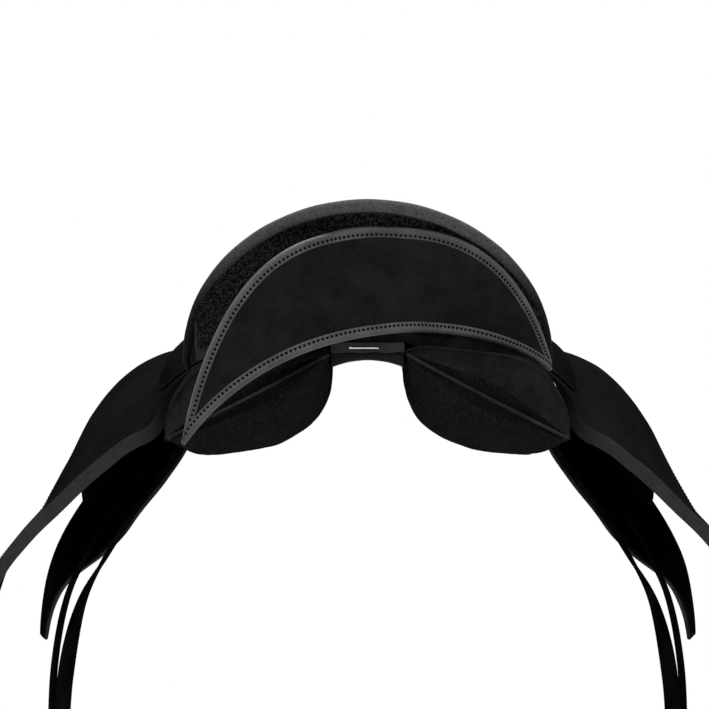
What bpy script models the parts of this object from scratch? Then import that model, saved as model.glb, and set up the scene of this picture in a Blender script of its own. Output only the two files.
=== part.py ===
"""All-purpose saddle at real size, in metres: +X off side, +Y to the pommel, +Z up.

The origin lies on the median plane, midway along the panels and level with their bearing surface.
"""

from math import cos, pi, radians, sin, sqrt

import bmesh
import bpy
from mathutils import Matrix, Vector

NAME = "all_purpose_saddle"
GAP = 0.0004

# Cantle rim: an ellipse arch in a plane that leans forward
CANTLE_Y = -0.240
RIM_HALF = 0.1455
RIM_SPREAD = 0.08
RIM_DEPTH = 0.120
RIM_BASE_Z = 0.085
RIM_RISE = 0.1236
RIM_RADIUS = 0.0056

# Seat: depths below the cover's top, and how far each layer reaches to the edge
COVER_THICK = 0.0025
COVER_LIP = 0.0085
FOAM_MIDDLE = 0.018
FOAM_EDGE = 0.005
TREE_THICK = 0.009
RAIL_THICK = 0.012
LAYER_GAP = 0.0014
FOAM_REACH = 0.955
TREE_REACH = 0.915
FRONT_NARROW = 0.16
LIP_REACH = 0.97
SLOT_HALF = 0.021
SLOT_REAR_Y = -0.135
SLOT_FRONT_Y = 0.065

# Flaps: the two ends of the ruled surfaces that they follow
DRAPE_REAR_Y = -0.10
DRAPE_FRONT_Y = 0.19
LEATHER = 0.0035
FLAP_THICK = 0.0088
FLAP_THICKENS = (0.305, 0.46)
FLAP_FOLD = 0.40
SKIRT_BULGE = 0.020

# Back of the cantle: a leaning ellipse, and the flat pattern of the crescent flap on it
FACING_HALF = 0.160
FACING_DEPTH = 0.083
FACING_Y = -0.2365
FACING_LEAN = 0.42
FACING_LEVEL = 0.2
FLAP_TOP_Z = 0.1882
FLAP_TOP_FALL = 0.1150
FLAP_TOP_POWER = 3.04
FLAP_LOW_Z = 0.1094
FLAP_LOW_FALL = 0.0395
FLAP_LOW_POWER = 2.49
FLAP_TIP_S = 0.1696
PEEL_POINT_S = 0.0316
PEEL_POINT_Z = 0.145
PEEL_LEAN_DEG = 43.0
PEEL_DEG = 38.2

# Hardware
BAR_LENGTH = 0.112
BAR_SLOT = 0.012
BAR_THICK = 0.007
DEE_RADIUS = 0.013
DEE_WIRE = 0.0020
STAPLE_HALF = 0.0118
STAPLE_WIRE = 0.0009
STRAP_WIDTH = 0.025
STRAP_THICK = 0.0035
STRAP_HOLES = 6

SIDES = {"right": 1, "left": -1}

parts = bpy.data.collections.new(NAME)
cutters = bpy.data.collections.new("cutters")


def material(name, colour, roughness, metallic=0.0):
    """A Principled material in the finish of one sub-part."""
    made = bpy.data.materials.new(name)
    made.use_nodes = True
    shader = made.node_tree.nodes["Principled BSDF"]
    shader.inputs["Base Color"].default_value = (*colour, 1)
    shader.inputs["Roughness"].default_value = roughness
    shader.inputs["Metallic"].default_value = metallic
    return made


FINISHES = {
    "suede": ((0.020, 0.020, 0.022), 0.9),
    "leather": ((0.030, 0.030, 0.032), 0.5),
    "rim": ((0.060, 0.060, 0.065), 0.55),
    "piping": ((0.080, 0.080, 0.085), 0.4),
    "loop": ((0.012, 0.012, 0.013), 1.0),
    "foam": ((0.75, 0.74, 0.68), 0.95),
    "polymer": ((0.045, 0.045, 0.050), 0.45),
    "webbing": ((0.35, 0.33, 0.28), 0.9),
    "steel": ((0.62, 0.62, 0.63), 0.25, 1.0),
}


def new_object(name, mesh, finish, smooth_deg=40):
    """Put a mesh in the saddle's collection with its own material."""
    made = bpy.data.objects.new(name, mesh)
    parts.objects.link(made)
    mesh.materials.clear()
    mesh.materials.append(material(name, *FINISHES[finish]))
    mesh.shade_smooth()
    mesh.set_sharp_from_angle(angle=radians(smooth_deg))
    return made


def solid(name, bm, finish, smooth_deg=40):
    """Turn a closed bmesh into a named part with its faces pointing out."""
    bmesh.ops.recalc_face_normals(bm, faces=bm.faces)
    if bm.calc_volume(signed=True) < 0:
        bmesh.ops.reverse_faces(bm, faces=bm.faces)
    mesh = bpy.data.meshes.new(name)
    bm.to_mesh(mesh)
    bm.free()
    return new_object(name, mesh, finish, smooth_deg)


def modifier(part, kind, **settings):
    """Add a modifier whose render values match its viewport values."""
    made = part.modifiers.new(kind.title(), kind)
    for key, value in settings.items():
        setattr(made, key, value)
    return made


def mirrored(point, side):
    """The same point on the side named by +1 or -1."""
    return Vector((point[0] * side, point[1], point[2]))


def mix(a, b, share):
    """A value part of the way from a to b."""
    return a + (b - a) * share


def through(points, share):
    """A point at a share from 0 to 1 along a smooth curve through evenly counted points."""
    last = len(points) - 1
    place = min(max(share, 0.0), 1.0) * last
    low = min(int(place), last - 1)
    t = place - low
    p1, p2 = Vector(points[low]), Vector(points[low + 1])
    p0 = Vector(points[low - 1]) if low > 0 else p1 * 2 - p2
    p3 = Vector(points[low + 2]) if low + 2 <= last else p2 * 2 - p1
    bend = (p0 * 2 - p1 * 5 + p2 * 4 - p3) * t * t + (p1 * 3 - p0 - p2 * 3 + p3) * t ** 3
    return (p1 * 2 + (p2 - p0) * t + bend) / 2


def steps(start, end, count):
    """Evenly spaced values from start to end."""
    return [mix(start, end, i / (count - 1)) for i in range(count)]


def add_grid(bm, rows):
    """Add the quads of a grid of points and return its vertices by row."""
    verts = [[bm.verts.new(point) for point in row] for row in rows]
    for low, high in zip(verts, verts[1:]):
        for i in range(len(low) - 1):
            bm.faces.new((low[i], low[i + 1], high[i + 1], high[i]))
    return verts


def slab(name, upper, lower, finish, smooth_deg=40):
    """A closed solid between two grids of equal size."""
    bm = bmesh.new()
    top = add_grid(bm, upper)
    low = add_grid(bm, lower)
    rims = []
    for grid in (top, low):
        right = [row[-1] for row in grid]
        left = [row[0] for row in reversed(grid)]
        rims.append(grid[0] + right[1:] + list(reversed(grid[-1]))[1:] + left[1:-1])
    for i in range(len(rims[0])):
        j = (i + 1) % len(rims[0])
        bm.faces.new((rims[0][i], rims[0][j], rims[1][j], rims[1][i]))
    return solid(name, bm, finish, smooth_deg)


def loft(name, rings, finish, smooth_deg=40):
    """A closed solid through rings of equal count, capped at both ends."""
    bm = bmesh.new()
    verts = [[bm.verts.new(point) for point in ring] for ring in rings]
    count = len(rings[0])
    for low, high in zip(verts, verts[1:]):
        for i in range(count):
            j = (i + 1) % count
            bm.faces.new((low[i], low[j], high[j], high[i]))
    bm.faces.new(verts[0])
    bm.faces.new(verts[-1])
    return solid(name, bm, finish, smooth_deg)


def tube(name, points, radius, finish, sides=2, closed=False, radii=None):
    """A rod or wire along points, as a mesh with welded caps."""
    curve = bpy.data.curves.new(name, "CURVE")
    curve.dimensions = "3D"
    curve.bevel_depth = radius
    curve.bevel_resolution = sides
    curve.use_fill_caps = True
    spline = curve.splines.new("POLY")
    spline.points.add(len(points) - 1)
    for i, point in enumerate(points):
        spline.points[i].co = (*point, 1)
        spline.points[i].radius = radii[i] if radii else 1.0
    spline.use_cyclic_u = closed
    guide = bpy.data.objects.new(name, curve)
    bpy.context.scene.collection.objects.link(guide)
    graph = bpy.context.evaluated_depsgraph_get()
    mesh = bpy.data.meshes.new_from_object(guide.evaluated_get(graph))
    bpy.data.objects.remove(guide)
    bm = bmesh.new()
    bm.from_mesh(mesh)
    bmesh.ops.remove_doubles(bm, verts=bm.verts, dist=0.00001)
    return solid(name, bm, finish)


def block(bm, size, place, bevel=0.0):
    """Add a box to a bmesh, placed by a matrix, with rounded edges if a bevel is given."""
    made = bmesh.ops.create_cube(bm, size=1.0, matrix=place @ Matrix.Diagonal((*size, 1)))
    if bevel:
        edges = {edge for vert in made["verts"] for edge in vert.link_edges}
        bmesh.ops.bevel(bm, geom=list(edges), offset=bevel, segments=2, affect="EDGES", profile=0.5)


def cylinder(bm, radius, start, end, segments=16, end_radius=None):
    """Add a capped cylinder or cone between two points to a bmesh."""
    axis = end - start
    turn = axis.to_track_quat("Z", "Y").to_matrix().to_4x4()
    place = Matrix.Translation((start + end) / 2) @ turn
    bmesh.ops.create_cone(bm, cap_ends=True, segments=segments, radius1=radius,
                          radius2=end_radius or radius, depth=axis.length, matrix=place)


def cutter(name, bm):
    """A hidden solid that cuts others."""
    mesh = bpy.data.meshes.new(name)
    bm.to_mesh(mesh)
    bm.free()
    made = bpy.data.objects.new(name, mesh)
    cutters.objects.link(made)
    made.hide_render = True
    made.display_type = "WIRE"
    return made


def cut(part, tool, operation="DIFFERENCE"):
    """Cut a part by a hidden solid."""
    modifier(part, "BOOLEAN", operation=operation, object=tool, solver="EXACT")


def rim_centre(deg):
    """Centre of the cantle roll at an angle from the top of the arch."""
    phi = radians(abs(deg))
    spread = 1 + RIM_SPREAD * (1 - cos(phi))
    x = (RIM_HALF * spread - RIM_RADIUS) * sin(phi)
    y = CANTLE_Y + RIM_DEPTH * (1 - cos(phi))
    z = RIM_BASE_Z + (RIM_RISE * spread - RIM_RADIUS) * cos(phi)
    return Vector((x if deg > 0 else -x, y, z))


def rim_inside(deg):
    """Where the seat meets the roll, on its inner side in plan."""
    phi = radians(deg)
    outward = Vector((RIM_DEPTH * sin(phi), -RIM_HALF * cos(phi), 0)).normalized()
    return rim_centre(deg) - outward * (RIM_RADIUS + 2 * GAP) + Vector((0, 0, 0.002))


SEAT_EDGE = [rim_inside(deg) for deg in (8, 29, 50, 70, 88)] + [
    Vector(point) for point in (
        (0.1285, -0.062, 0.0940), (0.0975, -0.002, 0.1015), (0.084, 0.050, 0.109),
        (0.080, 0.100, 0.116), (0.077, 0.145, 0.129), (0.068, 0.180, 0.143),
        (0.045, 0.206, 0.155), (0.012, 0.2165, 0.160))]
SEAT_SPINE = [
    (0, -0.2335, 0.2050), (0, -0.205, 0.1750), (0, -0.172, 0.1520), (0, -0.142, 0.1365),
    (0, -0.115, 0.1280), (0, -0.060, 0.1185), (0, 0.000, 0.1170), (0, 0.050, 0.1220),
    (0, 0.100, 0.1340), (0, 0.145, 0.1500), (0, 0.180, 0.1630), (0, 0.203, 0.1680),
    (0, 0.212, 0.1650)]


def seat_point(v, r, depth=0.0):
    """A point of the seat: v runs from the cantle to the pommel, r from -1 to 1 across."""
    edge = through(SEAT_EDGE, v)
    spine = through(SEAT_SPINE, v)
    share = r * r
    return Vector((edge.x * r, mix(spine.y, edge.y, share), mix(spine.z, edge.z, share) - depth))


def seat_grid(v_range, reach, rows, columns, depth):
    """A grid over the seat at a depth that varies with v and r."""
    grid = []
    for v in steps(*v_range, rows):
        narrow = 1 - FRONT_NARROW * min(max((v - 0.78) / 0.16, 0.0), 1.0)
        grid.append([seat_point(v, r, depth(v, r))
                     for r in steps(-reach * narrow, reach * narrow, columns)])
    return grid


def foam_depth(v, r):
    """Depth of the foam's underside below the top of the cover."""
    taper = min(1.0, v / 0.12, (1 - v) / 0.10)
    return COVER_THICK + FOAM_EDGE + (FOAM_MIDDLE - FOAM_EDGE) * (1 - r * r) * max(taper, 0.0)


WEB_THICK = 0.0010
WEB_LAYER = WEB_THICK + LAYER_GAP / 2


def tree_depth(v, r):
    """Depth of the tree's top, with room for two layers of webbing under the foam."""
    return foam_depth(v, r) + GAP + 2 * WEB_LAYER + LAYER_GAP


def tree_under(v, r):
    """Depth of the tree's underside, thicker along the rails."""
    return tree_depth(v, r) + mix(TREE_THICK, RAIL_THICK, abs(r) ** 6)


def make_seat():
    """Cover, foam, webbing and tree, from the top down."""
    rows, columns = 23, 15
    across = [-1.0] + steps(-LIP_REACH, LIP_REACH, columns - 2) + [1.0]
    along = [0.0, 0.012] + steps(0.045, 0.955, rows - 4) + [0.988, 1.0]

    def cover_depth(v, r):
        at_edge = abs(r) > LIP_REACH or v in (0.0, 1.0)
        return COVER_LIP if at_edge else COVER_THICK

    upper = [[seat_point(v, r) for r in across] for v in along]
    lower = [[seat_point(v, r, cover_depth(v, r)) for r in across] for v in along]
    slab("seat_cover", upper, lower, "suede")

    foam_v = (0.022, 0.965)
    slab("seat_foam",
         seat_grid(foam_v, FOAM_REACH, 18, 11, lambda v, r: COVER_THICK + 2 * LAYER_GAP),
         seat_grid(foam_v, FOAM_REACH, 18, 11, foam_depth), "foam")

    tree_v = (0.145, 0.930)
    tree = slab("tree",
                seat_grid(tree_v, TREE_REACH, 19, 13, tree_depth),
                seat_grid(tree_v, TREE_REACH, 19, 13, tree_under), "polymer")
    slot = bmesh.new()
    rear, front = SLOT_REAR_Y + SLOT_HALF, SLOT_FRONT_Y - SLOT_HALF
    outline = []
    for start, centre in ((0, front), (180, rear)):
        for turn in steps(start, start + 180, 9):
            angle = radians(turn)
            outline.append((SLOT_HALF * cos(angle), centre + SLOT_HALF * sin(angle)))
    low = [slot.verts.new((x, y, 0.04)) for x, y in outline]
    high = [slot.verts.new((x, y, 0.22)) for x, y in outline]
    for i in range(len(outline)):
        j = (i + 1) % len(outline)
        slot.faces.new((low[i], low[j], high[j], high[i]))
    slot.faces.new(low)
    slot.faces.new(high)
    bmesh.ops.recalc_face_normals(slot, faces=slot.faces)
    cut(tree, cutter("tree_slot", slot))
    return tree


def make_tree_webbing():
    """The canvas web strained over the slot of the tree."""
    v_range, reach = (0.27, 0.625), 0.45
    slab("tree_webbing",
         seat_grid(v_range, reach, 12, 7, lambda v, r: foam_depth(v, r) + GAP + WEB_LAYER),
         seat_grid(v_range, reach, 12, 7, lambda v, r: foam_depth(v, r) + 2 * WEB_LAYER),
         "webbing")


def make_rim():
    """The sewn roll round the cantle, thinner where it runs down into the seat's sides."""
    points, radii = [], []
    for deg in steps(-96, 96, 27):
        points.append(rim_centre(deg))
        radii.append(mix(1.0, 0.72, (abs(deg) / 96) ** 4))
    tube("cantle_rim", points, RIM_RADIUS, "rim", sides=2, radii=radii)


def facing_point(s, z, out=0.0):
    """A point on the back of the cantle: s is the arc length round it, out the height off it."""
    turn = facing_turn(s)
    x = FACING_HALF * sin(turn)
    y = FACING_Y + FACING_DEPTH * (1 - cos(turn)) + FACING_LEAN * (FACING_LEVEL - z)
    fall = FACING_HALF * cos(turn)
    normal = Vector((FACING_DEPTH * sin(turn), -fall, -FACING_LEAN * fall)).normalized()
    return Vector((x, y, z)) + normal * out


def facing_turn(s):
    """The ellipse angle at an arc length round the back of the cantle."""
    turn, travelled, step = 0.0, 0.0, 0.01
    while travelled < abs(s):
        rate = sqrt((FACING_HALF * cos(turn)) ** 2 + (FACING_DEPTH * sin(turn)) ** 2)
        travelled += rate * step
        turn += step
    turn -= (travelled - abs(s)) / rate if travelled else 0.0
    return turn if s > 0 else -turn


FACING_THICK = 0.0020
FACING_LOW_Z = 0.0955
FACING_REACH = 0.158
PAD_REACH = 0.144
RIM_LINE = [rim_centre(deg) for deg in steps(-92, 92, 93)]


LIP_LINE = [seat_point(v, side * r, COVER_LIP) for v in steps(0, 0.4, 60)
            for r in (0.6, 0.8, 0.9, LIP_REACH, 1.0) for side in (-1, 0, 1)]


def facing_top(s):
    """Height on the back of the cantle where it just clears the roll's underside."""
    z = RIM_BASE_Z + RIM_RISE
    while z > RIM_BASE_Z:
        place = facing_point(s, z)
        nearest = min((place - centre).length for centre in RIM_LINE)
        inside = place.z < RIM_BASE_Z + (RIM_RISE - RIM_RADIUS) * rim_share(place.x)
        lip = min((place - corner).length for corner in LIP_LINE)
        if inside and nearest > RIM_RADIUS + 3 * GAP and lip > FACING_THICK + 5 * GAP:
            return z
        z -= 0.0005
    return z


def rim_share(x):
    """Height of the arch at a place across, as a share of its rise."""
    return sqrt(max(1 - (x / (RIM_HALF + 0.008)) ** 2, 0.0))


def sheet_on_facing(name, s_values, low, high, inner, outer, finish, rows=6, place=None):
    """A closed sheet on the back of the cantle between two height curves."""
    grids = []
    for out in (outer, inner):
        grid = []
        for share in steps(0, 1, rows):
            row = [facing_point(s, mix(low(s), high(s), share), out) for s in s_values]
            grid.append([place @ point for point in row] if place else row)
        grids.append(grid)
    return slab(name, grids[0], grids[1], finish)


LOOP_THICK = 0.0018
HOOK_THICK = 0.0012
CRESCENT_THICK = 0.0024


def make_facing():
    """The closed back of the cantle and the loop pad on it."""
    reach = FACING_REACH
    s_values = steps(-reach, reach, 23)

    def low(s):
        return FACING_LOW_Z - 0.012 * (abs(s) / reach) ** 3

    sheet_on_facing("cantle_facing", s_values, low, facing_top, -FACING_THICK, 0.0, "leather", 4)
    pad = steps(-PAD_REACH, PAD_REACH, 21)

    def pad_low(s):
        return FACING_LOW_Z + 0.010 - 0.012 * (abs(s) / reach) ** 3

    def pad_high(s):
        return facing_top(s) - 0.0030

    sheet_on_facing("cantle_loop_pad", pad, pad_low, pad_high, GAP, GAP + LOOP_THICK, "loop", 4)


def crescent_high(s):
    """Upper edge of the crescent flap in its flat pattern."""
    return FLAP_TOP_Z - FLAP_TOP_FALL * (abs(s) / FLAP_TIP_S) ** FLAP_TOP_POWER


def crescent_low(s):
    """Lower edge of the crescent flap in its flat pattern."""
    return FLAP_LOW_Z - FLAP_LOW_FALL * (abs(s) / FLAP_TIP_S) ** FLAP_LOW_POWER


PEEL_GAP = 0.0008
CRESCENT_IN = 2 * GAP + LOOP_THICK + HOOK_THICK + GAP
CRESCENT_OUT = CRESCENT_IN + CRESCENT_THICK
BINDING_OUT = CRESCENT_OUT + GAP
BINDING_WIDTH = 0.0070
BINDING_THICK = 0.0008
HOOK_INSET = 0.012
HOOK_REACH = 0.86
HOOK_SHARES = (0.125, 0.25, 0.375, 0.50, 0.625, 0.75, 0.875)


def peel_frame():
    """A point of the crescent's outer face, the way across to the fixed part, and the hinge axis."""
    point = facing_point(PEEL_POINT_S, PEEL_POINT_Z, CRESCENT_OUT)
    rise = Vector((0, -FACING_LEAN, 1)).normalized()
    turn = facing_turn(PEEL_POINT_S)
    run = Vector((FACING_HALF * cos(turn), FACING_DEPTH * sin(turn), 0))
    run = (run - rise * run.dot(rise)).normalized()
    lean = radians(PEEL_LEAN_DEG)
    return point, run * cos(lean) + rise * sin(lean), rise * cos(lean) - run * sin(lean)


def peel_s(height):
    """Arc length at which the peel line crosses a height that depends on the arc length."""
    point, across, _ = peel_frame()
    low, high = -FLAP_TIP_S, FLAP_TIP_S
    for _ in range(24):
        middle = (low + high) / 2
        place = facing_point(middle, height(middle), CRESCENT_OUT)
        if (place - point).dot(across) < 0:
            low = middle
        else:
            high = middle
    return low


def crescent_height(share):
    """Height over the arc length at a share of the way up the crescent."""
    return lambda s: mix(crescent_low(s), crescent_high(s), share)


def crescent_grid(out, start_side, finish_s, columns, rows=9):
    """A grid over one part of the crescent, from the peel line to its tip."""
    grid = []
    for share in steps(0, 1, rows):
        height = crescent_height(share)
        start = peel_s(height) + start_side * PEEL_GAP
        grid.append([facing_point(s, height(s), out) for s in steps(start, finish_s, columns)])
    return grid


def turned(grid, place):
    """A grid moved by a matrix."""
    return [[place @ point for point in row] for row in grid]


def binding_grid(out, start_side, finish_s, upper, columns):
    """A grid over the binding strip along the upper or lower edge of the crescent."""
    grid = []
    for inset in (0.0, BINDING_WIDTH):
        row = []
        edge = crescent_high if upper else crescent_low
        turn = -1 if upper else 1
        start = peel_s(lambda s: edge(s) + turn * inset) + start_side * PEEL_GAP
        last = finish_s * (1 - 0.10 * (not upper))
        for s in steps(start, last, columns):
            limit = (crescent_high(s) - crescent_low(s)) * 0.45
            row.append(facing_point(s, edge(s) + turn * min(inset, limit), out))
        grid.append(row)
    return grid


def make_crescent():
    """The crescent flap: the part still stuck to the pad and the part peeled off it."""
    pivot, _, axis = peel_frame()
    opened = Matrix.Translation(pivot) @ Matrix.Rotation(radians(PEEL_DEG), 4, axis)
    opened = opened @ Matrix.Translation(-pivot)
    unmoved = Matrix.Identity(4)
    for name, side, place in (("cantle_flap_root", 1, unmoved), ("cantle_flap", -1, opened)):
        tip = side * FLAP_TIP_S
        outer = turned(crescent_grid(CRESCENT_OUT, side, tip, 17), place)
        inner = turned(crescent_grid(CRESCENT_IN, side, tip, 17), place)
        slab(name, outer, inner, "suede")
        for edge, upper in (("upper", True), ("lower", False)):
            outer = turned(binding_grid(BINDING_OUT + BINDING_THICK, side, tip, upper, 16), place)
            inner = turned(binding_grid(BINDING_OUT, side, tip, upper, 16), place)
            slab(f"{name}_{edge}_binding", outer, inner, "piping")
    hook_out = CRESCENT_IN - GAP
    grids = []
    for out in (hook_out, hook_out - HOOK_THICK):
        grid = []
        for share in HOOK_SHARES:
            height = crescent_height(share)
            start = peel_s(height) - HOOK_INSET
            grid.append([facing_point(s, height(s), out)
                         for s in steps(start, -FLAP_TIP_S * HOOK_REACH, 14)])
        grids.append(turned(grid, opened))
    slab("cantle_hook_strip", grids[0], grids[1], "loop")


LINING_CLEAR = 0.0008
LINING_HEM = 0.0054
LINING_HEM_END_Y = -0.165
LINING_THICK = 0.0020
LINING_ARCH = 0.006
LINING = [(0, -0.206, 0.0810), (0, -0.130, 0.0805), (0, -0.050, 0.0800), (0, 0.020, 0.0805),
          (0, 0.070, 0.0865), (0, 0.120, 0.0955), (0, 0.178, 0.1000)]
BRIDGE_HALF = 0.0295
BRIDGE_REAR_Y = -0.2125
BRIDGE_THICK = 0.003
BRIDGE_LOW_Z = 0.0868
BRIDGE_HEIGHT = 0.0078
STAPLE_X = -0.003
STAPLE_REACH = 0.0075


def make_gullet():
    """The lining of the channel, the bridge over its rear end and the wire staple."""
    grids = []
    for upper in (True, False):
        grid = []
        for share in steps(0, 1, 15):
            middle = through(LINING, share)
            half = panel_section(PANEL_LOWER, middle.y, 0).x - LINING_CLEAR
            hem = min(max((LINING_HEM_END_Y - middle.y) / (LINING_HEM_END_Y - LINING[0][1]), 0.0), 1.0)
            row = []
            for r in steps(-1, 1, 7):
                drop = LINING_ARCH * r * r
                lift = mix(LINING_THICK - drop, LINING_HEM, hem) if upper else -drop
                row.append(middle + Vector((half * r, 0, lift)))
            grid.append(row)
        grids.append(grid)
    slab("gullet_lining", grids[0], grids[1], "leather")

    bm = bmesh.new()
    centre = Vector((0, BRIDGE_REAR_Y + BRIDGE_THICK / 2, BRIDGE_LOW_Z + BRIDGE_HEIGHT / 2))
    size = (2 * BRIDGE_HALF, BRIDGE_THICK, BRIDGE_HEIGHT)
    block(bm, size, Matrix.Translation(centre), bevel=0.0008)
    solid("panel_bridge", bm, "leather")

    face = BRIDGE_REAR_Y - GAP
    height = BRIDGE_LOW_Z + BRIDGE_HEIGHT * 0.45
    reach, corner = STAPLE_REACH, 0.0022
    path = [(-STAPLE_HALF, face), (-STAPLE_HALF, face - reach + corner)]
    for turn in steps(0, 90, 5):
        angle = radians(turn)
        path.append((-STAPLE_HALF + corner * (1 - cos(angle)),
                     face - reach + corner * (1 - sin(angle))))
    path += [(-x, y) for x, y in reversed(path)]
    arch = 0.0006
    points = [Vector((STAPLE_X + x, y, height + arch * (1 - (x / STAPLE_HALF) ** 2)))
              for x, y in path]
    tube("crupper_staple", points, STAPLE_WIRE, "steel", sides=2)


HEAD_ARCH = [(0.000, 0.1085), (0.035, 0.1070), (0.070, 0.0990), (0.092, 0.0890),
             (0.118, 0.0750), (0.142, 0.0570), (0.158, 0.0390)]
HEAD_REAR_Y = 0.138
HEAD_FRONT_Y = 0.168
HEAD_THICK = 0.0025
SCREW_HEAD = 0.0042
SCREW_X = 0.030


def head_arch(x):
    """Height of the head plate's centre line and its downhill angle at a place across."""
    share = min(abs(x) / HEAD_ARCH[-1][0], 1.0)
    low, high = 0.0, 1.0
    for _ in range(30):
        middle = (low + high) / 2
        if through([(a, b, 0) for a, b in HEAD_ARCH], middle).x < share * HEAD_ARCH[-1][0]:
            low = middle
        else:
            high = middle
    return through([(a, b, 0) for a, b in HEAD_ARCH], low).y


def make_head_plate():
    """The steel arch under the pommel with its two points, and the screws that hold it."""
    xs = steps(-HEAD_ARCH[-1][0], HEAD_ARCH[-1][0], 33)
    centre = [Vector((x, 0, head_arch(x))) for x in xs]
    grids = []
    for lift in (HEAD_THICK / 2, -HEAD_THICK / 2):
        grid = []
        for y in (HEAD_REAR_Y, (HEAD_REAR_Y + HEAD_FRONT_Y) / 2, HEAD_FRONT_Y):
            row = []
            for i, point in enumerate(centre):
                ahead = centre[min(i + 1, len(centre) - 1)]
                back = centre[max(i - 1, 0)]
                run = (ahead - back).normalized()
                normal = Vector((-run.z, 0, run.x))
                row.append(Vector((point.x, y, point.z)) + normal * lift)
            grid.append(row)
        grids.append(grid)
    slab("head_plate", grids[0], grids[1], "steel")
    middle = (HEAD_REAR_Y + HEAD_FRONT_Y) / 2
    for name, side in SIDES.items():
        bm = bmesh.new()
        top = head_arch(SCREW_X) - HEAD_THICK / 2 - GAP - 0.0008
        place = Vector((SCREW_X * side, middle, top))
        cylinder(bm, SCREW_HEAD, place - Vector((0, 0, 0.0016)), place, 12)
        solid(f"head_plate_screw_{name}", bm, "steel")


POMMEL_REACH = 0.150
POMMEL_DROP = 0.020


def make_pommel_facing():
    """The closed front of the pommel, under the front edge of the seat cover."""
    grids = []
    for inset in (0.0010, 0.0030):
        grid = []
        for share in steps(0, 1, 4):
            row = []
            for r in steps(-1, 1, 16):
                v = 1 - POMMEL_REACH * abs(r)
                edge = seat_point(v, 1.0 if r > 0 else -1.0)
                run = seat_point(v - 0.01, 1.0 if r > 0 else -1.0) - edge
                inward = Vector((-run.y, run.x, 0)).normalized()
                inward = inward if inward.y < 0 or inward.x * r < 0 else -inward
                high = edge.z - COVER_LIP - 4 * GAP
                place = edge + inward * inset
                row.append(Vector((place.x, place.y, mix(high, high - POMMEL_DROP, share))))
            grid.append(row)
        grids.append(grid)
    slab("pommel_facing", grids[0], grids[1], "leather")


NAIL_RADIUS = 0.0055


def make_nails():
    """The two domed saddle nails beside the pommel, standing on the seat cover."""
    for name, side in SIDES.items():
        bm = bmesh.new()
        foot = seat_point(0.79, 0.90 * side)
        across = seat_point(0.79, 0.93 * side) - seat_point(0.79, 0.87 * side)
        along = seat_point(0.80, 0.90 * side) - seat_point(0.78, 0.90 * side)
        up = across.cross(along).normalized()
        up = up if up.z > 0 else -up
        start = foot + up * 0.0007
        cylinder(bm, NAIL_RADIUS, start, start + up * 0.0022, 16, NAIL_RADIUS * 0.55)
        solid(f"saddle_nail_{name}", bm, "steel")


PANEL_REAR_Y = -0.2265
PANEL_FRONT_Y = 0.200
PANEL_STATIONS = (-0.195, -0.150, -0.010, 0.165)
REAR_LOWER = [(0.0300, 0.0860), (0.0305, 0.0640), (0.0345, 0.0450), (0.0430, 0.0300), (0.0580, 0.0180),
              (0.0790, 0.0080), (0.1020, 0.0030), (0.1260, 0.0005), (0.1500, 0.0020), (0.1690, 0.0140)]
PANEL_LOWER = (
    REAR_LOWER, REAR_LOWER,
    [(0.0318, 0.0720), (0.0355, 0.0540), (0.0420, 0.0370), (0.0520, 0.0235), (0.0640, 0.0135),
     (0.0780, 0.0065), (0.0910, 0.0040), (0.1040, 0.0050), (0.1150, 0.0110), (0.1210, 0.0200)],
    [(0.0420, 0.0930), (0.0450, 0.0720), (0.0510, 0.0510), (0.0600, 0.0320), (0.0730, 0.0140),
     (0.0920, 0.0020), (0.1150, -0.0060), (0.1400, -0.0130), (0.1620, -0.0160), (0.1760, -0.0090)])
PANEL_UPPER = (
    [(0.1690, 0.0140), (0.1700, 0.0270), (0.1665, 0.0430), (0.1575, 0.0590), (0.1475, 0.0715),
     (0.1290, 0.0830), (0.0930, 0.0885), (0.0650, 0.0905), (0.0450, 0.0915), (0.0300, 0.0870)],
    [(0.1690, 0.0140), (0.1700, 0.0290), (0.1640, 0.0440), (0.1530, 0.0570), (0.1370, 0.0680),
     (0.1160, 0.0755), (0.0920, 0.0795), (0.0650, 0.0840), (0.0450, 0.0870), (0.0300, 0.0860)],
    [(0.1210, 0.0200), (0.1220, 0.0330), (0.1190, 0.0450), (0.1130, 0.0550), (0.1040, 0.0630),
     (0.0910, 0.0690), (0.0760, 0.0725), (0.0600, 0.0740), (0.0440, 0.0740), (0.0318, 0.0720)],
    [(0.1760, -0.0090), (0.1740, 0.0040), (0.1660, 0.0190), (0.1540, 0.0340), (0.1390, 0.0490),
     (0.1210, 0.0630), (0.1010, 0.0750), (0.0800, 0.0850), (0.0600, 0.0920), (0.0420, 0.0930)])
PANEL_SWEEP = 0.120
PANEL_SWEEP_HALF = 0.200
SEAM_LOWER_RUN = 0.085
SEAM_UPPER_RUN = 0.030
FRONT_RUN = 0.045
SEAM_TAPER = 0.12
PIPING_RADIUS = 0.0013


def panel_section(tables, y, share):
    """A point across the panel's lower or upper side in the full section at y."""
    place = 0
    while place < len(PANEL_STATIONS) - 2 and y > PANEL_STATIONS[place + 1]:
        place += 1
    start, end = PANEL_STATIONS[place:place + 2]
    t = min(max((y - start) / (end - start), 0.0), 1.0)
    pair = [through([(a, b, 0) for a, b in tables[i]], share) for i in (place, place + 1)]
    smooth = t * t * (3 - 2 * t)
    return pair[0] * (1 - smooth) + pair[1] * smooth


def seam_line(share):
    """The diagonal seam of the rear end, from the outer lower corner to the inner top."""
    lower = Vector(PANEL_LOWER[0][0])
    outer = Vector(PANEL_LOWER[0][-1])
    bow = Vector((-0.010, 0.004)) * sin(pi * share)
    return outer * (1 - share) + lower * share + bow


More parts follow.
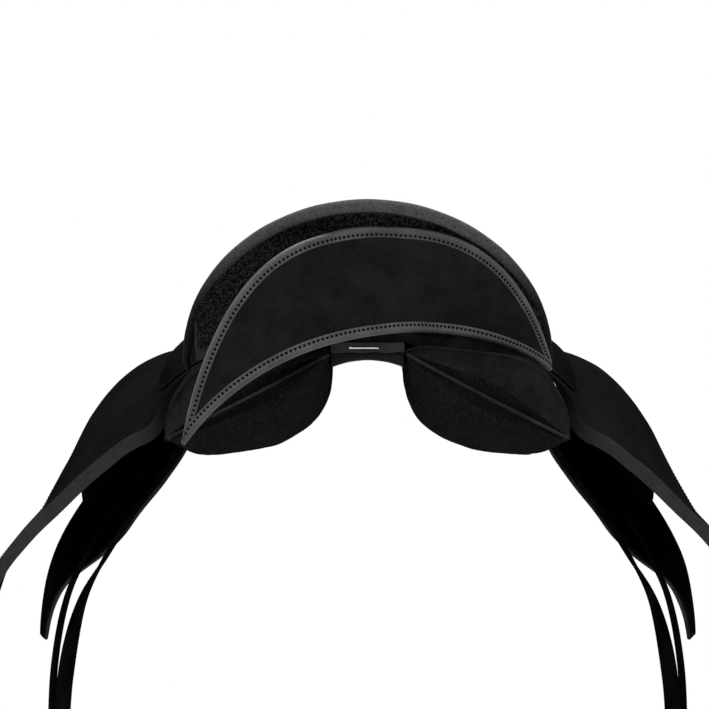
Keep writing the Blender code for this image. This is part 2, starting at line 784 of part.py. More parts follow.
def fullness(distance, run):
    """How far a section has swelled at a distance from the end: round, from 0 to 1."""
    t = min(max(distance / run, 0.0), 1.0)
    return sqrt(1 - (1 - t) ** 2)


def panel_point(y, share, upper, side):
    """A point of a panel's skin; share runs from gullet to outer corner, or back over the top."""
    tables = PANEL_UPPER if upper else PANEL_LOWER
    full = panel_section(tables, y, share)
    line_share = share if upper else 1 - share
    run = SEAM_UPPER_RUN if upper else SEAM_LOWER_RUN
    rear = fullness(y - PANEL_REAR_Y, run) * (1 - SEAM_TAPER) + SEAM_TAPER * (y > PANEL_REAR_Y)
    if y < PANEL_REAR_Y + SEAM_LOWER_RUN:
        line = seam_line(line_share)
        full = Vector((mix(line.x, full.x, rear), mix(line.y, full.y, rear), 0))
    front = fullness(PANEL_FRONT_Y - y, FRONT_RUN)
    if front < 1:
        heart = Vector((0.115, 0.030, 0))
        full = heart + (Vector((full.x, full.y, 0)) - heart) * mix(0.35, 1.0, front)
    bend = 1 - sqrt(1 - min(full.x / PANEL_SWEEP_HALF, 0.95) ** 2)
    fade = 1 - min(max((y - PANEL_REAR_Y) / 0.14, 0.0), 1.0)
    return Vector((full.x * side, y + PANEL_SWEEP * bend * fade, full.y))


def make_panels():
    """The two cushions: each swells from a diagonal seam at the rear to a full section."""
    lengths = [0.0, 0.0016, 0.006, 0.014, 0.026, 0.042, 0.062, 0.085]
    ys = [PANEL_REAR_Y + run for run in lengths]
    ys += steps(-0.110, 0.145, 9) + [PANEL_FRONT_Y - run for run in (0.040, 0.024, 0.010, 0.001)]
    for name, side in SIDES.items():
        rings = []
        for y in ys:
            ring = [panel_point(y, share, False, side) for share in steps(0, 1, 13)]
            ring += [panel_point(y, share, True, side) for share in steps(0, 1, 13)[1:-1]]
            rings.append(ring)
        loft(f"panel_{name}", rings, "suede", 60)
        points = []
        for share in steps(0.04, 0.97, 16):
            point = seam_line(share)
            bend = 1 - sqrt(1 - min(point.x / PANEL_SWEEP_HALF, 0.95) ** 2)
            out = PIPING_RADIUS + GAP
            points.append(Vector((point.x * side, PANEL_REAR_Y + PANEL_SWEEP * bend - out, point.y)))
        tube(f"panel_seam_{name}", points, PIPING_RADIUS, "piping", sides=1)


FLAP_REAR = [(0.090, 0.0880), (0.138, 0.0765), (0.170, 0.0520), (0.187, 0.0180),
             (0.211, -0.0100), (0.239, -0.0330), (0.267, -0.0580), (0.294, -0.0820),
             (0.320, -0.1160), (0.342, -0.1660)]
FLAP_FRONT = [(0.084, 0.1040), (0.128, 0.0975), (0.176, 0.0890), (0.217, 0.0745),
              (0.250, 0.0500), (0.279, 0.0130), (0.305, -0.0340), (0.333, -0.0800),
              (0.362, -0.1200), (0.378, -0.1700)]
UNDER_REAR = [(0.112, 0.0770), (0.144, 0.0670), (0.154, 0.0400), (0.147, 0.0030),
              (0.163, -0.0330), (0.187, -0.0680), (0.209, -0.1030), (0.231, -0.1430),
              (0.245, -0.2050), (0.250, -0.2780)]
UNDER_FRONT = [(0.104, 0.0895), (0.142, 0.0700), (0.174, 0.0430), (0.205, 0.0110),
               (0.240, -0.0180), (0.275, -0.0510), (0.307, -0.0990), (0.325, -0.1450),
               (0.333, -0.2050), (0.334, -0.2780)]


def drape(pair, t, y, lift=0.0, side=1):
    """A point on a ruled surface that hangs from the seat, lifted off its outer face."""
    share = (y - DRAPE_REAR_Y) / (DRAPE_FRONT_Y - DRAPE_REAR_Y)

    def spot(t_value, share_value):
        rear = through([(a, DRAPE_REAR_Y, b) for a, b in pair[0]], t_value)
        front = through([(a, DRAPE_FRONT_Y, b) for a, b in pair[1]], t_value)
        return rear * (1 - share_value) + front * share_value

    point = spot(t, share)
    if lift:
        small = 0.004
        down = spot(min(t + small, 1), share) - spot(max(t - small, 0), share)
        along = spot(t, share + small) - spot(t, share - small)
        normal = along.cross(down).normalized()
        normal = normal if normal.x + normal.z > 0 else -normal
        point = point + normal * lift
    return mirrored(point, side)


def flat(t, y=0.0):
    """No height over the surface, at any place on it."""
    return 0.0


def leather_thick(t):
    """Thickness of a single sheet of leather."""
    return LEATHER


def flap_thick(t):
    """Thickness of the flap: one sheet at the seat, padded and bound towards its end."""
    start, end = FLAP_THICKENS
    share = min(max((t - start) / (end - start), 0.0), 1.0)
    return mix(LEATHER, FLAP_THICK, share * share * (3 - 2 * share))


def drape_sheet(name, pair, side, rows, rear, front, lift, thick, finish, columns):
    """A closed sheet over a ruled surface between a rear and a front outline."""
    grids = []
    for extra in (thick, flat):
        grid = []
        for t in rows:
            grid.append([drape(pair, t, y, lift(t, y) + extra(t), side)
                         for y in steps(rear(t), front(t), columns)])
        grids.append(grid)
    return slab(name, grids[0], grids[1], finish)


FLAP = (FLAP_REAR, FLAP_FRONT)
UNDER = (UNDER_REAR, UNDER_FRONT)


def outline(points, round_from=1.0, middle=0.0, end_half=0.016):
    """An outline's y as a smooth function of the share t down a flap, rounded in at its end."""
    end = points[-1][0]

    def at(t):
        for (t0, y0), (t1, y1) in zip(points, points[1:]):
            if t <= t1 + 1e-9:
                local = (t - t0) / (t1 - t0)
                y = mix(y0, y1, local * local * (3 - 2 * local))
                break
        if t > round_from:
            fall = ((t - round_from) / (end - round_from)) ** 2
            half = abs(y - middle)
            width = mix(end_half, half, sqrt(max(1 - fall, 0.0)))
            y = middle + (width if y > middle else -width)
        return y
    return at


FLAP_MIDDLE_Y = 0.062
SKIRT_MIDDLE_Y = 0.060
UNDER_MIDDLE_Y = 0.165
FLAP_END = 1.0
SKIRT_END = 0.30
SKIRT_ROUND = 0.17
UNDER_END = 0.88

flap_rear = outline([(0.11, -0.098), (0.40, -0.070), (1.0, -0.046)], 0.74, FLAP_MIDDLE_Y)
flap_front = outline([(0.11, 0.190), (0.40, 0.212), (0.66, 0.232), (1.0, 0.190)], 0.70,
                     FLAP_MIDDLE_Y)
skirt_rear = outline([(0.045, 0.014), (0.11, -0.036), (SKIRT_END, -0.046)], SKIRT_ROUND,
                     SKIRT_MIDDLE_Y)
skirt_front = outline([(0.045, 0.160), (0.16, 0.168), (SKIRT_END, 0.160)], SKIRT_ROUND,
                      SKIRT_MIDDLE_Y)
under_rear = outline([(0.0, -0.038), (0.58, -0.026), (UNDER_END, 0.135)], 0.66, UNDER_MIDDLE_Y)
under_front = outline([(0.0, 0.180), (0.45, 0.200), (UNDER_END, 0.196)], 0.66, UNDER_MIDDLE_Y)


def rounded_rows(start, end, round_from, straight, curved):
    """Shares down a flap: even at first, then closing up where its end is rounded."""
    rows = steps(start, round_from, straight)
    for turn in steps(0, 90, curved)[1:]:
        rows.append(mix(round_from, end, sin(radians(turn))))
    return rows


def flap_start(y):
    """Where the flap's top edge lies, just outside the seat's edge."""
    t = min(max((0.06 - y) / 0.14, 0.0), 1.0)
    return 0.005 + 0.11 * t * t * (3 - 2 * t)


SKIRT_FOLD = 0.045
FOLD_GAP = 0.0025
SKIRT_ROOT_Y = (0.015, 0.160)
SKIRT_OPENS = (0.009, 0.030)


def skirt_lift(t, y):
    """Height of the skirt's inner face: arched over the stirrup bar and closed at its rear edge."""
    share = min(t / SKIRT_END, 1.0)
    low = LEATHER + 2 * GAP
    arch = mix(0.0085, low, share) + SKIRT_BULGE * sin(pi * share ** 0.6)
    rear = skirt_rear(t) if t > SKIRT_FOLD else SKIRT_ROOT_Y[0]
    run = mix(*SKIRT_OPENS, min(max((t - SKIRT_FOLD) / 0.05, 0.0), 1.0))
    opened = min(max((y - rear) / run, 0.0), 1.0)
    return mix(low, arch, opened * opened * (3 - 2 * opened))


def root_sheet(name, side, fold, rear, front, lift, thick, finish, rows, columns):
    """The fixed upper part of a flap or skirt, from the seat's edge down to its fold."""
    grids = []
    for extra in (thick, flat):
        grid = []
        for share in steps(0, 1, rows):
            row = []
            for part in steps(0, 1, columns):
                y = mix(rear, front, part)
                t = mix(flap_start(y), fold, share)
                row.append(drape(FLAP, t, y, lift(t, y) + extra(t), side))
            grid.append(row)
        grids.append(grid)
    return slab(name, grids[0], grids[1], finish)


def make_flaps():
    """Skirts, flaps and sweat flaps: fixed roots at the seat and lifting bodies below a fold."""
    for name, side in SIDES.items():
        root_sheet(f"flap_root_{name}", side, FLAP_FOLD - FOLD_GAP / 2, -0.090, 0.205, flat,
                   flap_thick, "suede", 7, 11)
        rows = rounded_rows(FLAP_FOLD + FOLD_GAP / 2, FLAP_END, 0.72, 5, 8)
        drape_sheet(f"flap_{name}", FLAP, side, rows, flap_rear, flap_front, flat, flap_thick,
                    "suede", 9)
        root_sheet(f"skirt_root_{name}", side, SKIRT_FOLD - FOLD_GAP / 2, *SKIRT_ROOT_Y,
                   skirt_lift, leather_thick, "suede", 3, 13)
        rows = rounded_rows(SKIRT_FOLD + FOLD_GAP / 2, SKIRT_END, SKIRT_ROUND, 5, 7)
        drape_sheet(f"skirt_{name}", FLAP, side, rows, skirt_rear, skirt_front, skirt_lift,
                    leather_thick, "suede", 13)
        rows = rounded_rows(0.02, UNDER_END, 0.66, 11, 7)
        drape_sheet(f"sweat_flap_{name}", UNDER, side, rows, under_rear, under_front, flat,
                    leather_thick, "leather", 9)


KNEE_HEIGHT = 0.021
KNEE_T = (0.24, 0.60)


def make_knee_blocks():
    """Padded blocks held to the sweat flaps by hook-and-loop, in front of the rider's knee."""
    for name, side in SIDES.items():
        grids = []
        for top in (True, False):
            grid = []
            for i, t in enumerate(steps(*KNEE_T, 13)):
                along = 2 * i / 12 - 1
                middle = 0.160 + 0.012 * (1 - along * along)
                half = 0.022 * sqrt(1.02 - along ** 4)
                row = []
                for across in steps(-1, 1, 9):
                    crown = (1 - across ** 4) * (1 - along ** 6)
                    rise = mix(0.003, KNEE_HEIGHT, crown) if top else 0.0
                    lift = LEATHER + LAYER_GAP + rise
                    row.append(drape(UNDER, t, middle + half * across, lift, side))
                grid.append(row)
            grids.append(grid)
        slab(f"knee_block_{name}", grids[0], grids[1], "foam", 60)


def band_grids(path, width, thick, across):
    """The outer and inner grids of a band of even width along a path."""
    grids = [[], []]
    for i, point in enumerate(path):
        ahead, back = path[min(i + 1, len(path) - 1)], path[max(i - 1, 0)]
        normal = (ahead - back).cross(across).normalized()
        for grid, lift in zip(grids, (thick / 2, -thick / 2)):
            centre = point + normal * lift
            grid.append([centre - across * width / 2, centre, centre + across * width / 2])
    return grids


STRAPS = {"front": 0.0225, "rear": -0.0475}
STRAP_T = (0.185, 1.0)
STRAP_CLEAR = 0.0050
WEB_CLEAR = 0.0016
WEB_TURN = 0.952
WEB_RAIL_DROPS = (0.0105, 0.0210)


def strap_frame(place, side):
    """Hinge point and axis of a girth strap: it swings in its own plane."""
    y = STRAPS[place]
    pin = drape(UNDER, STRAP_T[0] + 0.02, y, LEATHER + STRAP_CLEAR + STRAP_THICK / 2, side)
    low = drape(UNDER, 0.98, y, 0.0, side)
    ahead = drape(UNDER, 0.6, y + 0.02, 0.0, side) - drape(UNDER, 0.6, y - 0.02, 0.0, side)
    axis = (low - pin).cross(ahead).normalized()
    return pin, axis if axis.x * side > 0 else -axis


def make_straps():
    """Girth straps with punched holes, and the webs over the tree that carry them."""
    across = Vector((0, 1, 0))
    for place, y in STRAPS.items():
        for name, side in SIDES.items():
            path = [drape(UNDER, t, y, LEATHER + STRAP_CLEAR + STRAP_THICK / 2, side)
                    for t in steps(*STRAP_T, 16)]
            outer, inner = band_grids(path, STRAP_WIDTH, STRAP_THICK, across)
            strap = slab(f"girth_strap_{place}_{name}", outer, inner, "leather")
            holes = bmesh.new()
            for t in steps(0.60, 0.94, STRAP_HOLES):
                centre = drape(UNDER, t, y, 0.0, side)
                away = drape(UNDER, t, y, 0.02, side) - centre
                cylinder(holes, 0.0022, centre + away * 0.1, centre + away * 0.9, 6)
            cut(strap, cutter(f"holes_{place}_{name}", holes))
            grids = [[], []]
            for y_edge in (y - STRAP_WIDTH / 2, y, y + STRAP_WIDTH / 2):
                route = web_route(y_edge)
                for i, point in enumerate(route):
                    ahead, back = route[min(i + 1, len(route) - 1)], route[max(i - 1, 0)]
                    normal = across.cross(ahead - back).normalized()
                    normal = normal if normal.x + normal.z > 0 else -normal
                    for grid, lift in zip(grids, (WEB_THICK, 0.0)):
                        if len(grid) <= i:
                            grid.append([])
                        grid[i].append(mirrored(point + normal * lift, side))
            slab(f"girth_web_{place}_{name}", grids[0], grids[1], "webbing")


def web_route(y):
    """The inner face of a girth web at one y: over the tree, round its rail, to the strap."""
    route = []
    for r in (0.34, 0.50, 0.66, 0.80, 0.90):
        v = web_v(y, r)
        point = seat_point(v, r, foam_depth(v, r) + WEB_LAYER)
        route.append(Vector((point.x, y, point.z)))
    rail = seat_point(web_v(y, WEB_TURN), WEB_TURN)
    for drop in WEB_RAIL_DROPS:
        route.append(Vector((rail.x, y, rail.z - drop)))
    for t in (0.012, 0.045, 0.080, 0.115, 0.145, STRAP_T[0] - 0.012):
        point = drape(UNDER, t, y, LEATHER + WEB_CLEAR)
        route.append(Vector((max(point.x, rail.x + 0.002 + 0.01 * t), y, point.z)))
    return route


def web_v(y, r):
    """The seat's v at a place along and across it."""
    low, high = 0.0, 1.0
    for _ in range(24):
        middle = (low + high) / 2
        if seat_point(middle, r).y < y:
            low = middle
        else:
            high = middle
    return low


BAR_REAR_Y = 0.036
BAR_T = 0.075
BAR_LIFT = 0.0135
BAR_PLATE = 0.003
BAR_HEIGHT = 0.010
CATCH_LENGTH = 0.011
RIVET_RADIUS = 0.0018


def bar_frame(side):
    """The stirrup bar's frame: X to the pommel, Y outwards across the slope, Z off the flap."""
    rear = drape(FLAP, BAR_T, BAR_REAR_Y, BAR_LIFT, 1)
    front = drape(FLAP, BAR_T, BAR_REAR_Y + BAR_LENGTH, BAR_LIFT, 1)
    along = (front - rear).normalized()
    outward = drape(FLAP, BAR_T + 0.03, BAR_REAR_Y, BAR_LIFT) - rear
    outward = (outward - along * outward.dot(along)).normalized()
    up = outward.cross(along).normalized()
    up = up if up.z > 0 else -up
    return rear, along, outward, up


def make_stirrup_bars():
    """Forged bars riveted to the tree's rails, open to the rear, each with a hinged catch."""
    for name, side in SIDES.items():
        rear, along, outward, up = bar_frame(side)
        inner = -(BAR_SLOT + BAR_THICK / 2 + BAR_PLATE)
        slot_out = -BAR_THICK / 2
        shape = [(0.0, slot_out), (BAR_LENGTH - 0.016, slot_out)]
        for turn in steps(0, 90, 5)[1:]:
            angle = radians(turn)
            shape.append((BAR_LENGTH - 0.016 + 0.006 * sin(angle),
                          slot_out - 0.006 * (1 - cos(angle))))
        shape += [(BAR_LENGTH - 0.010, inner + BAR_PLATE), (BAR_LENGTH * 0.30, inner + BAR_PLATE),
                  (BAR_LENGTH * 0.30, inner), (BAR_LENGTH + 0.006, inner),
                  (BAR_LENGTH + 0.006, inner + BAR_PLATE)]
        for turn in steps(0, 90, 6):
            angle = radians(turn)
            shape.append((BAR_LENGTH - 0.010 + 0.014 * cos(angle),
                          BAR_THICK / 2 - 0.014 * (1 - sin(angle))))
        shape.append((0.0, BAR_THICK / 2))
        rings = []
        for lift in (-BAR_HEIGHT / 2, BAR_HEIGHT / 2):
            rings.append([mirrored(rear + along * a + outward * b + up * lift, side)
                          for a, b in shape])
        bar = loft(f"stirrup_bar_{name}", rings, "steel", 30)
        modifier(bar, "BEVEL", width=0.0008, segments=1, limit_method="ANGLE",
                 angle_limit=radians(50))
        for place, a in (("rear", 0.45), ("front", 0.80)):
            rivet = bmesh.new()
            start = rear + along * BAR_LENGTH * a + outward * (inner + BAR_PLATE + GAP)
            cylinder(rivet, RIVET_RADIUS * 1.5, mirrored(start, side),
                     mirrored(start + outward * 0.0015, side), 10)
            solid(f"bar_rivet_{place}_{name}", rivet, "steel")
        catch = bmesh.new()
        middle = mirrored(rear - along * (CATCH_LENGTH / 2 + GAP), side)
        turn = Matrix((mirrored(along, side), mirrored(outward, side), mirrored(up, side)))
        place = Matrix.Translation(middle) @ turn.transposed().to_4x4()
        block(catch, (CATCH_LENGTH, BAR_THICK, BAR_HEIGHT * 0.8), place, bevel=0.0018)
        solid(f"stirrup_bar_catch_{name}", catch, "steel", 30)


DEE_Y = 0.182
DEE_T = 0.075
DEE_LIFT = 0.0082
CHAPE_WIDTH = 0.014
CHAPE_THICK = 0.0012


def dee_frame():
    """Centre of the dee's bar, and the directions down the flap and along the bar."""
    centre = drape(FLAP, DEE_T, DEE_Y, DEE_LIFT)
    down = drape(FLAP, DEE_T + 0.05, DEE_Y, DEE_LIFT) - centre
    along = Vector((0, 1, 0))
    down = (down - along * down.dot(along)).normalized()
    return centre, down, along


def make_dees():
    """Dee rings at the pommel, each hanging in a folded leather chape."""
    centre, down, along = dee_frame()
    up = along.cross(down)
    up = up if up.z > 0 else -up
    half = DEE_RADIUS
    ring = [(0.0, -half), (0.0, -half / 3), (0.0, half / 3), (0.0, half)]
    for turn in steps(20, 160, 9):
        angle = radians(turn)
        ring.append((half * 1.35 * sin(angle), half * cos(angle)))
    eye = DEE_WIRE + 0.0004 + CHAPE_THICK / 2
    fold = []
    for turn in steps(-62, 200, 12):
        angle = radians(turn)
        fold.append(centre + down * eye * cos(angle) + up * eye * sin(angle))
    fold.reverse()
    tail = drape(FLAP, 0.012, DEE_Y, LEATHER + GAP + CHAPE_THICK)
    knee = centre - down * (eye + 0.006) + up * -0.0022
    path = [Vector((tail.x, DEE_Y, tail.z)), Vector((knee.x, DEE_Y, knee.z))] + fold
    for name, side in SIDES.items():
        points = [mirrored(centre + down * a + along * b, side) for a, b in ring]
        tube(f"dee_{name}", points, DEE_WIRE, "steel", sides=1, closed=True)
        outer, inner = band_grids([mirrored(point, side) for point in path], CHAPE_WIDTH,
                                  CHAPE_THICK, along)
        slab(f"dee_chape_{name}", outer, inner, "leather")


def fold_line(t, lift, y, side):
    """A point of a flap's fold line, just off its outer face."""
    return drape(FLAP, t, y, lift + GAP, side)


def hinges():
    """Every hinge: a point on its axis, the axis, and the sub-parts that turn about it."""
    peel_point, _, peel_axis = peel_frame()
    found = {"cantle_flap_peel": (peel_point, peel_axis, (
        "cantle_flap", "cantle_flap_upper_binding", "cantle_flap_lower_binding",
        "cantle_hook_strip"))}
    for name, side in SIDES.items():
        skirt_top = skirt_lift(SKIRT_FOLD, SKIRT_MIDDLE_Y) + LEATHER
        for piece, t, lift in (("flap", FLAP_FOLD, flap_thick(FLAP_FOLD)),
                               ("skirt", SKIRT_FOLD, skirt_top)):
            rear, front = (fold_line(t, lift, y, side) for y in (0.03, 0.13))
            axis = (rear - front).normalized() * side
            found[f"{piece}_lift_{name}"] = ((rear + front) / 2, axis, (f"{piece}_{name}",))
        for place in STRAPS:
            pin, axis = strap_frame(place, side)
            found[f"strap_swing_{place}_{name}"] = (pin, axis * side, (f"girth_strap_{place}_{name}",))
        rear, along, outward, up = bar_frame(side)
        pin = mirrored(rear - along * GAP / 2 + up * (BAR_HEIGHT * 0.4 + GAP), side)
        axis = mirrored(up, side).cross(mirrored(along, side)).normalized()
        found[f"catch_turn_{name}"] = (pin, axis, (f"stirrup_bar_catch_{name}",))
        centre, down, along = dee_frame()
        found[f"dee_swing_{name}"] = (mirrored(centre, side), -along * side, (f"dee_{name}",))
    return found


def set_origins():
    """Give each moving sub-part its origin on its joint's axis."""
    for point, axis, names in hinges().values():
        for name in names:
            piece = parts.objects[name]
            piece.data.transform(Matrix.Translation(-point))
            piece.location = point


def clear_scene():
    """Start from an empty file."""
    for old in list(bpy.data.objects):
        bpy.data.objects.remove(old)
    for collection in (parts, cutters):
        bpy.context.scene.collection.children.link(collection)


def build():
    """Make every sub-part of the saddle."""
    clear_scene()
    make_seat()
    make_tree_webbing()
    make_rim()
    make_facing()
    make_crescent()
    make_gullet()
    make_head_plate()
    make_pommel_facing()
    make_nails()
    make_panels()
    make_flaps()
    make_knee_blocks()
    make_straps()
    make_stirrup_bars()
    make_dees()
    set_origins()


build()
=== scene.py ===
"""The visible all-purpose saddle, in metres: +X off side, +Y to the pommel, +Z up.

The surfaces follow the same rules as the part's solids, which stand in the frame.
"""

from bisect import bisect_right
from math import cos, pi, radians, sin, sqrt

import bmesh
import bpy
from mathutils import Matrix, Vector, noise


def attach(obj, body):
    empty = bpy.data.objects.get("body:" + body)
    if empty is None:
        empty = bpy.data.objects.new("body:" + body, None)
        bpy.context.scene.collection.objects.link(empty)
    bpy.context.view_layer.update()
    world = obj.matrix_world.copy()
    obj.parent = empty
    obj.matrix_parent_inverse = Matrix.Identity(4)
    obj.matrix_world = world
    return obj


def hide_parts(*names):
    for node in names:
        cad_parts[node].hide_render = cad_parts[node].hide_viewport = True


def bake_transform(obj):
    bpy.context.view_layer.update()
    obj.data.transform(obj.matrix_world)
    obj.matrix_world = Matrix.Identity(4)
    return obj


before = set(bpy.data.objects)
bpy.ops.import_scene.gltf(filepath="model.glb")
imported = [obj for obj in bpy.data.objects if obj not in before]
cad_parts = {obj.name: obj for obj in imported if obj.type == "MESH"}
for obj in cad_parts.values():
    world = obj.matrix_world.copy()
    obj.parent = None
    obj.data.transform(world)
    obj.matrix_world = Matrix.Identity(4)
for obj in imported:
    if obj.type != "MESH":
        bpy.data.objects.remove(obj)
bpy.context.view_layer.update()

SIDES = {"right": 1, "left": -1}
GAP = 0.0004
MM = 0.001
PITCH = 0.0039

# Cantle roll
CANTLE_Y = -0.24
RIM_HALF = 0.1455
RIM_SPREAD = 0.08
RIM_DEPTH = 0.12
RIM_BASE_Z = 0.085
RIM_RISE = 0.1236
RIM_RADIUS = 0.0056
RIM_END_DEG = 96

# Back of the cantle and the flat pattern of its crescent flap
FACING_HALF = 0.16
FACING_DEPTH = 0.083
FACING_Y = -0.2365
FACING_LEAN = 0.42
FACING_LEVEL = 0.2
FACING_LOW_Z = 0.0955
FACING_REACH = 0.158
FLAP_TOP_Z = 0.1882
FLAP_TOP_FALL = 0.115
FLAP_TOP_POWER = 3.04
FLAP_LOW_Z = 0.1094
FLAP_LOW_FALL = 0.0395
FLAP_LOW_POWER = 2.49
FLAP_TIP_S = 0.1696
PEEL_S = 0.0316
PEEL_Z = 0.145
PEEL_LEAN_DEG = 43.0
PEEL_DEG = 38.2
PEEL_BEND = 0.024
LOOP_THICK = 0.0018
HOOK_THICK = 0.0012
CRESCENT_THICK = 0.0024
CRESCENT_IN = 3 * GAP + LOOP_THICK + HOOK_THICK

# Flaps: the shares of the ruled surface where each begins, folds and ends
DRAPE_REAR_Y = -0.1
DRAPE_FRONT_Y = 0.19
LEATHER = 0.0035
FLAP_THICKENS = (0.305, 0.46)
FLAP_FOLD = 0.4
FLAP_MIDDLE_Y = 0.062
SKIRT_FOLD = 0.045
SKIRT_BULGE = 0.02
SKIRT_ROOT_Y = (0.015, 0.16)
SKIRT_OPENS = (0.009, 0.03)
SKIRT_END = 0.3
SKIRT_ROUND = 0.17
SKIRT_MIDDLE_Y = 0.06
UNDER_MIDDLE_Y = 0.165
UNDER_END = 0.88

# Panels
PANEL_REAR_Y = -0.2265
PANEL_FRONT_Y = 0.2
PANEL_STATIONS = (-0.195, -0.15, -0.01, 0.165)
PANEL_SWEEP = 0.12
PANEL_SWEEP_HALF = 0.2
SEAM_LOWER_RUN = 0.085
SEAM_UPPER_RUN = 0.03
FRONT_RUN = 0.045
SEAM_TAPER = 0.12
PANEL_HEART = Vector((0.115, 0.03, 0))
FRONT_SHARE = 0.35
SWEEP_FADE = 0.14

# Straps
STRAPS = {"front": 0.0225, "rear": -0.0475}
STRAP_WIDTH = 0.025
STRAP_THICK = 0.0035
STRAP_T = (0.185, 1.0)
STRAP_CLEAR = 0.005
STRAP_HOLES = 6
STRAP_TWISTS = {"front": 0.0, "rear": radians(36)}
HOLES_T = (0.6, 0.94)
HOLE_RADIUS = 0.0022


def mix(a, b, share):
    """A value part of the way from a to b."""
    return a + (b - a) * share


def steps(start, end, count):
    """Evenly spaced values from start to end."""
    return [mix(start, end, i / (count - 1)) for i in range(count)]


def ease(value, start=0.0, end=1.0):
    """A smooth share from 0 at start to 1 at end."""
    t = min(max((value - start) / (end - start), 0.0), 1.0)
    return t * t * (3 - 2 * t)


def mirrored(point, side):
    """The same point on the side named by +1 or -1."""
    return Vector((point[0] * side, point[1], point[2]))


def through(points, share):
    """A point at a share from 0 to 1 along a smooth curve through evenly counted points."""
    last = len(points) - 1
    place = min(max(share, 0.0), 1.0) * last
    low = min(int(place), last - 1)
    t = place - low
    p1, p2 = Vector(points[low]), Vector(points[low + 1])
    p0 = Vector(points[low - 1]) if low > 0 else p1 * 2 - p2
    p3 = Vector(points[low + 2]) if low + 2 <= last else p2 * 2 - p1
    bend = (p0 * 2 - p1 * 5 + p2 * 4 - p3) * t * t + (p1 * 3 - p0 - p2 * 3 + p3) * t ** 3
    return (p1 * 2 + (p2 - p0) * t + bend) / 2


def evenly(points, spacing):
    """Points at equal distances along a polyline, with the direction there."""
    lengths = [0.0]
    for a, b in zip(points, points[1:]):
        lengths.append(lengths[-1] + (b - a).length)
    count = max(int(lengths[-1] / spacing), 1)
    found = []
    for i in range(count):
        travelled = (i + 0.5) * lengths[-1] / count
        place = min(bisect_right(lengths, travelled), len(points) - 1)
        a, b = points[place - 1], points[place]
        share = (travelled - lengths[place - 1]) / max(lengths[place] - lengths[place - 1], 1e-9)
        found.append((a.lerp(b, share), (b - a).normalized()))
    return found


def ruffle(point, size, height):
    """A height from smooth noise whose lumps have a size, the same each run."""
    return noise.noise(point / size) * height


def socket_name(key):
    """The shader's own name of a socket written as a keyword."""
    return key.replace("_", " ").title().replace("Ior", "IOR")


class Value:
    """A socket of a node tree: sums of values add Math nodes to its tree."""

    def __init__(self, finish, socket):
        self.finish = finish
        self.socket = socket

    def _math(self, operation, *values):
        return self.finish.add("ShaderNodeMath", {"operation": operation}, *values)

    def __add__(self, other):
        return self._math("ADD", self, other)

    def __sub__(self, other):
        return self._math("SUBTRACT", self, other)

    def __rsub__(self, other):
        return self._math("SUBTRACT", other, self)

    def __mul__(self, other):
        return self._math("MULTIPLY", self, other)

    def __pow__(self, other):
        return self._math("POWER", self, other)

    __radd__ = __add__

    def wave(self):
        """The sine of the value."""
        return self._math("SINE", self)

    def rise(self, start, end):
        """A smooth share from 0 at start to 1 at end."""
        return self.finish.add("ShaderNodeMapRange", {"interpolation_type": "SMOOTHSTEP"},
                               self, start, end, 0.0, 1.0)


class Finish:
    """A material in the making: a Principled shader and the nodes that feed it."""

    def __init__(self, name, **constants):
        self.material = bpy.data.materials.new(name)
        self.material.use_nodes = True
        self.tree = self.material.node_tree
        self.shader = self.tree.nodes["Principled BSDF"]
        for key, value in constants.items():
            self.shader.inputs[socket_name(key)].default_value = value
        self.place = self.add("ShaderNodeTexCoord", {}, output="Object")

    def add(self, kind, settings, *values, output=0, **named):
        """Add a node: its settings first, then the values or links of its sockets."""
        node = self.tree.nodes.new(kind)
        for key, value in settings.items():
            setattr(node, key, value)
        sockets = list(enumerate(values)) + list(named.items())
        for key, value in sockets:
            if isinstance(value, Value):
                self.tree.links.new(value.socket, node.inputs[key])
            else:
                node.inputs[key].default_value = value
        return Value(self, node.outputs[output])

    def noise(self, size, detail=3.0, rough=0.55, stretch=None):
        """Cloudy noise whose lumps have a size in metres, pulled out along axes if asked."""
        place = self.place
        if stretch:
            place = self.add("ShaderNodeVectorMath", {"operation": "MULTIPLY"}, place, stretch)
        return self.add("ShaderNodeTexNoise", {}, Vector=place, Scale=1 / size, Detail=detail,
                        Roughness=rough)

    def cells(self, size):
        """Distance to the nearest of scattered points a size apart."""
        return self.add("ShaderNodeTexVoronoi", {}, output="Distance", Vector=self.place,
                        Scale=1 / size)

    def axes(self):
        """The place's three coordinates."""
        node = self.add("ShaderNodeSeparateXYZ", {}, self.place)
        return [Value(self, socket) for socket in node.socket.node.outputs]

    def shade(self, share, low, high):
        """A colour part of the way from low to high."""
        made = self.add("ShaderNodeMix", {"data_type": "RGBA"}, output=2)
        node = made.socket.node
        for key, value in ((0, share), (6, low), (7, high)):
            if isinstance(value, Value):
                self.tree.links.new(value.socket, node.inputs[key])
            else:
                node.inputs[key].default_value = (*value, 1) if key else value
        return made

    def feed(self, **values):
        """Link values into the shader's sockets."""
        for key, value in values.items():
            socket = self.shader.inputs[socket_name(key)]
            self.tree.links.new(value.socket, socket)
        return self

    def relief(self, height, depth, strength=1.0):
        """Raise the surface by a height from 0 to 1, times a depth in metres."""
        bump = self.add("ShaderNodeBump", {}, Height=height, Distance=depth, Strength=strength)
        return self.feed(normal=bump)


# Heights over which the roll's colour turns lighter: painted light from above.
ROLL_PAINTED_LIGHT_Z = (0.105, 0.19)
EDGE_LIGHTENS = (0.172, 0.215)
EDGE_LINES = 2 * pi / 0.0019


def black(level):
    """A neutral near-black of a lightness, a trace cooler than grey."""
    return level, level, level * 1.06


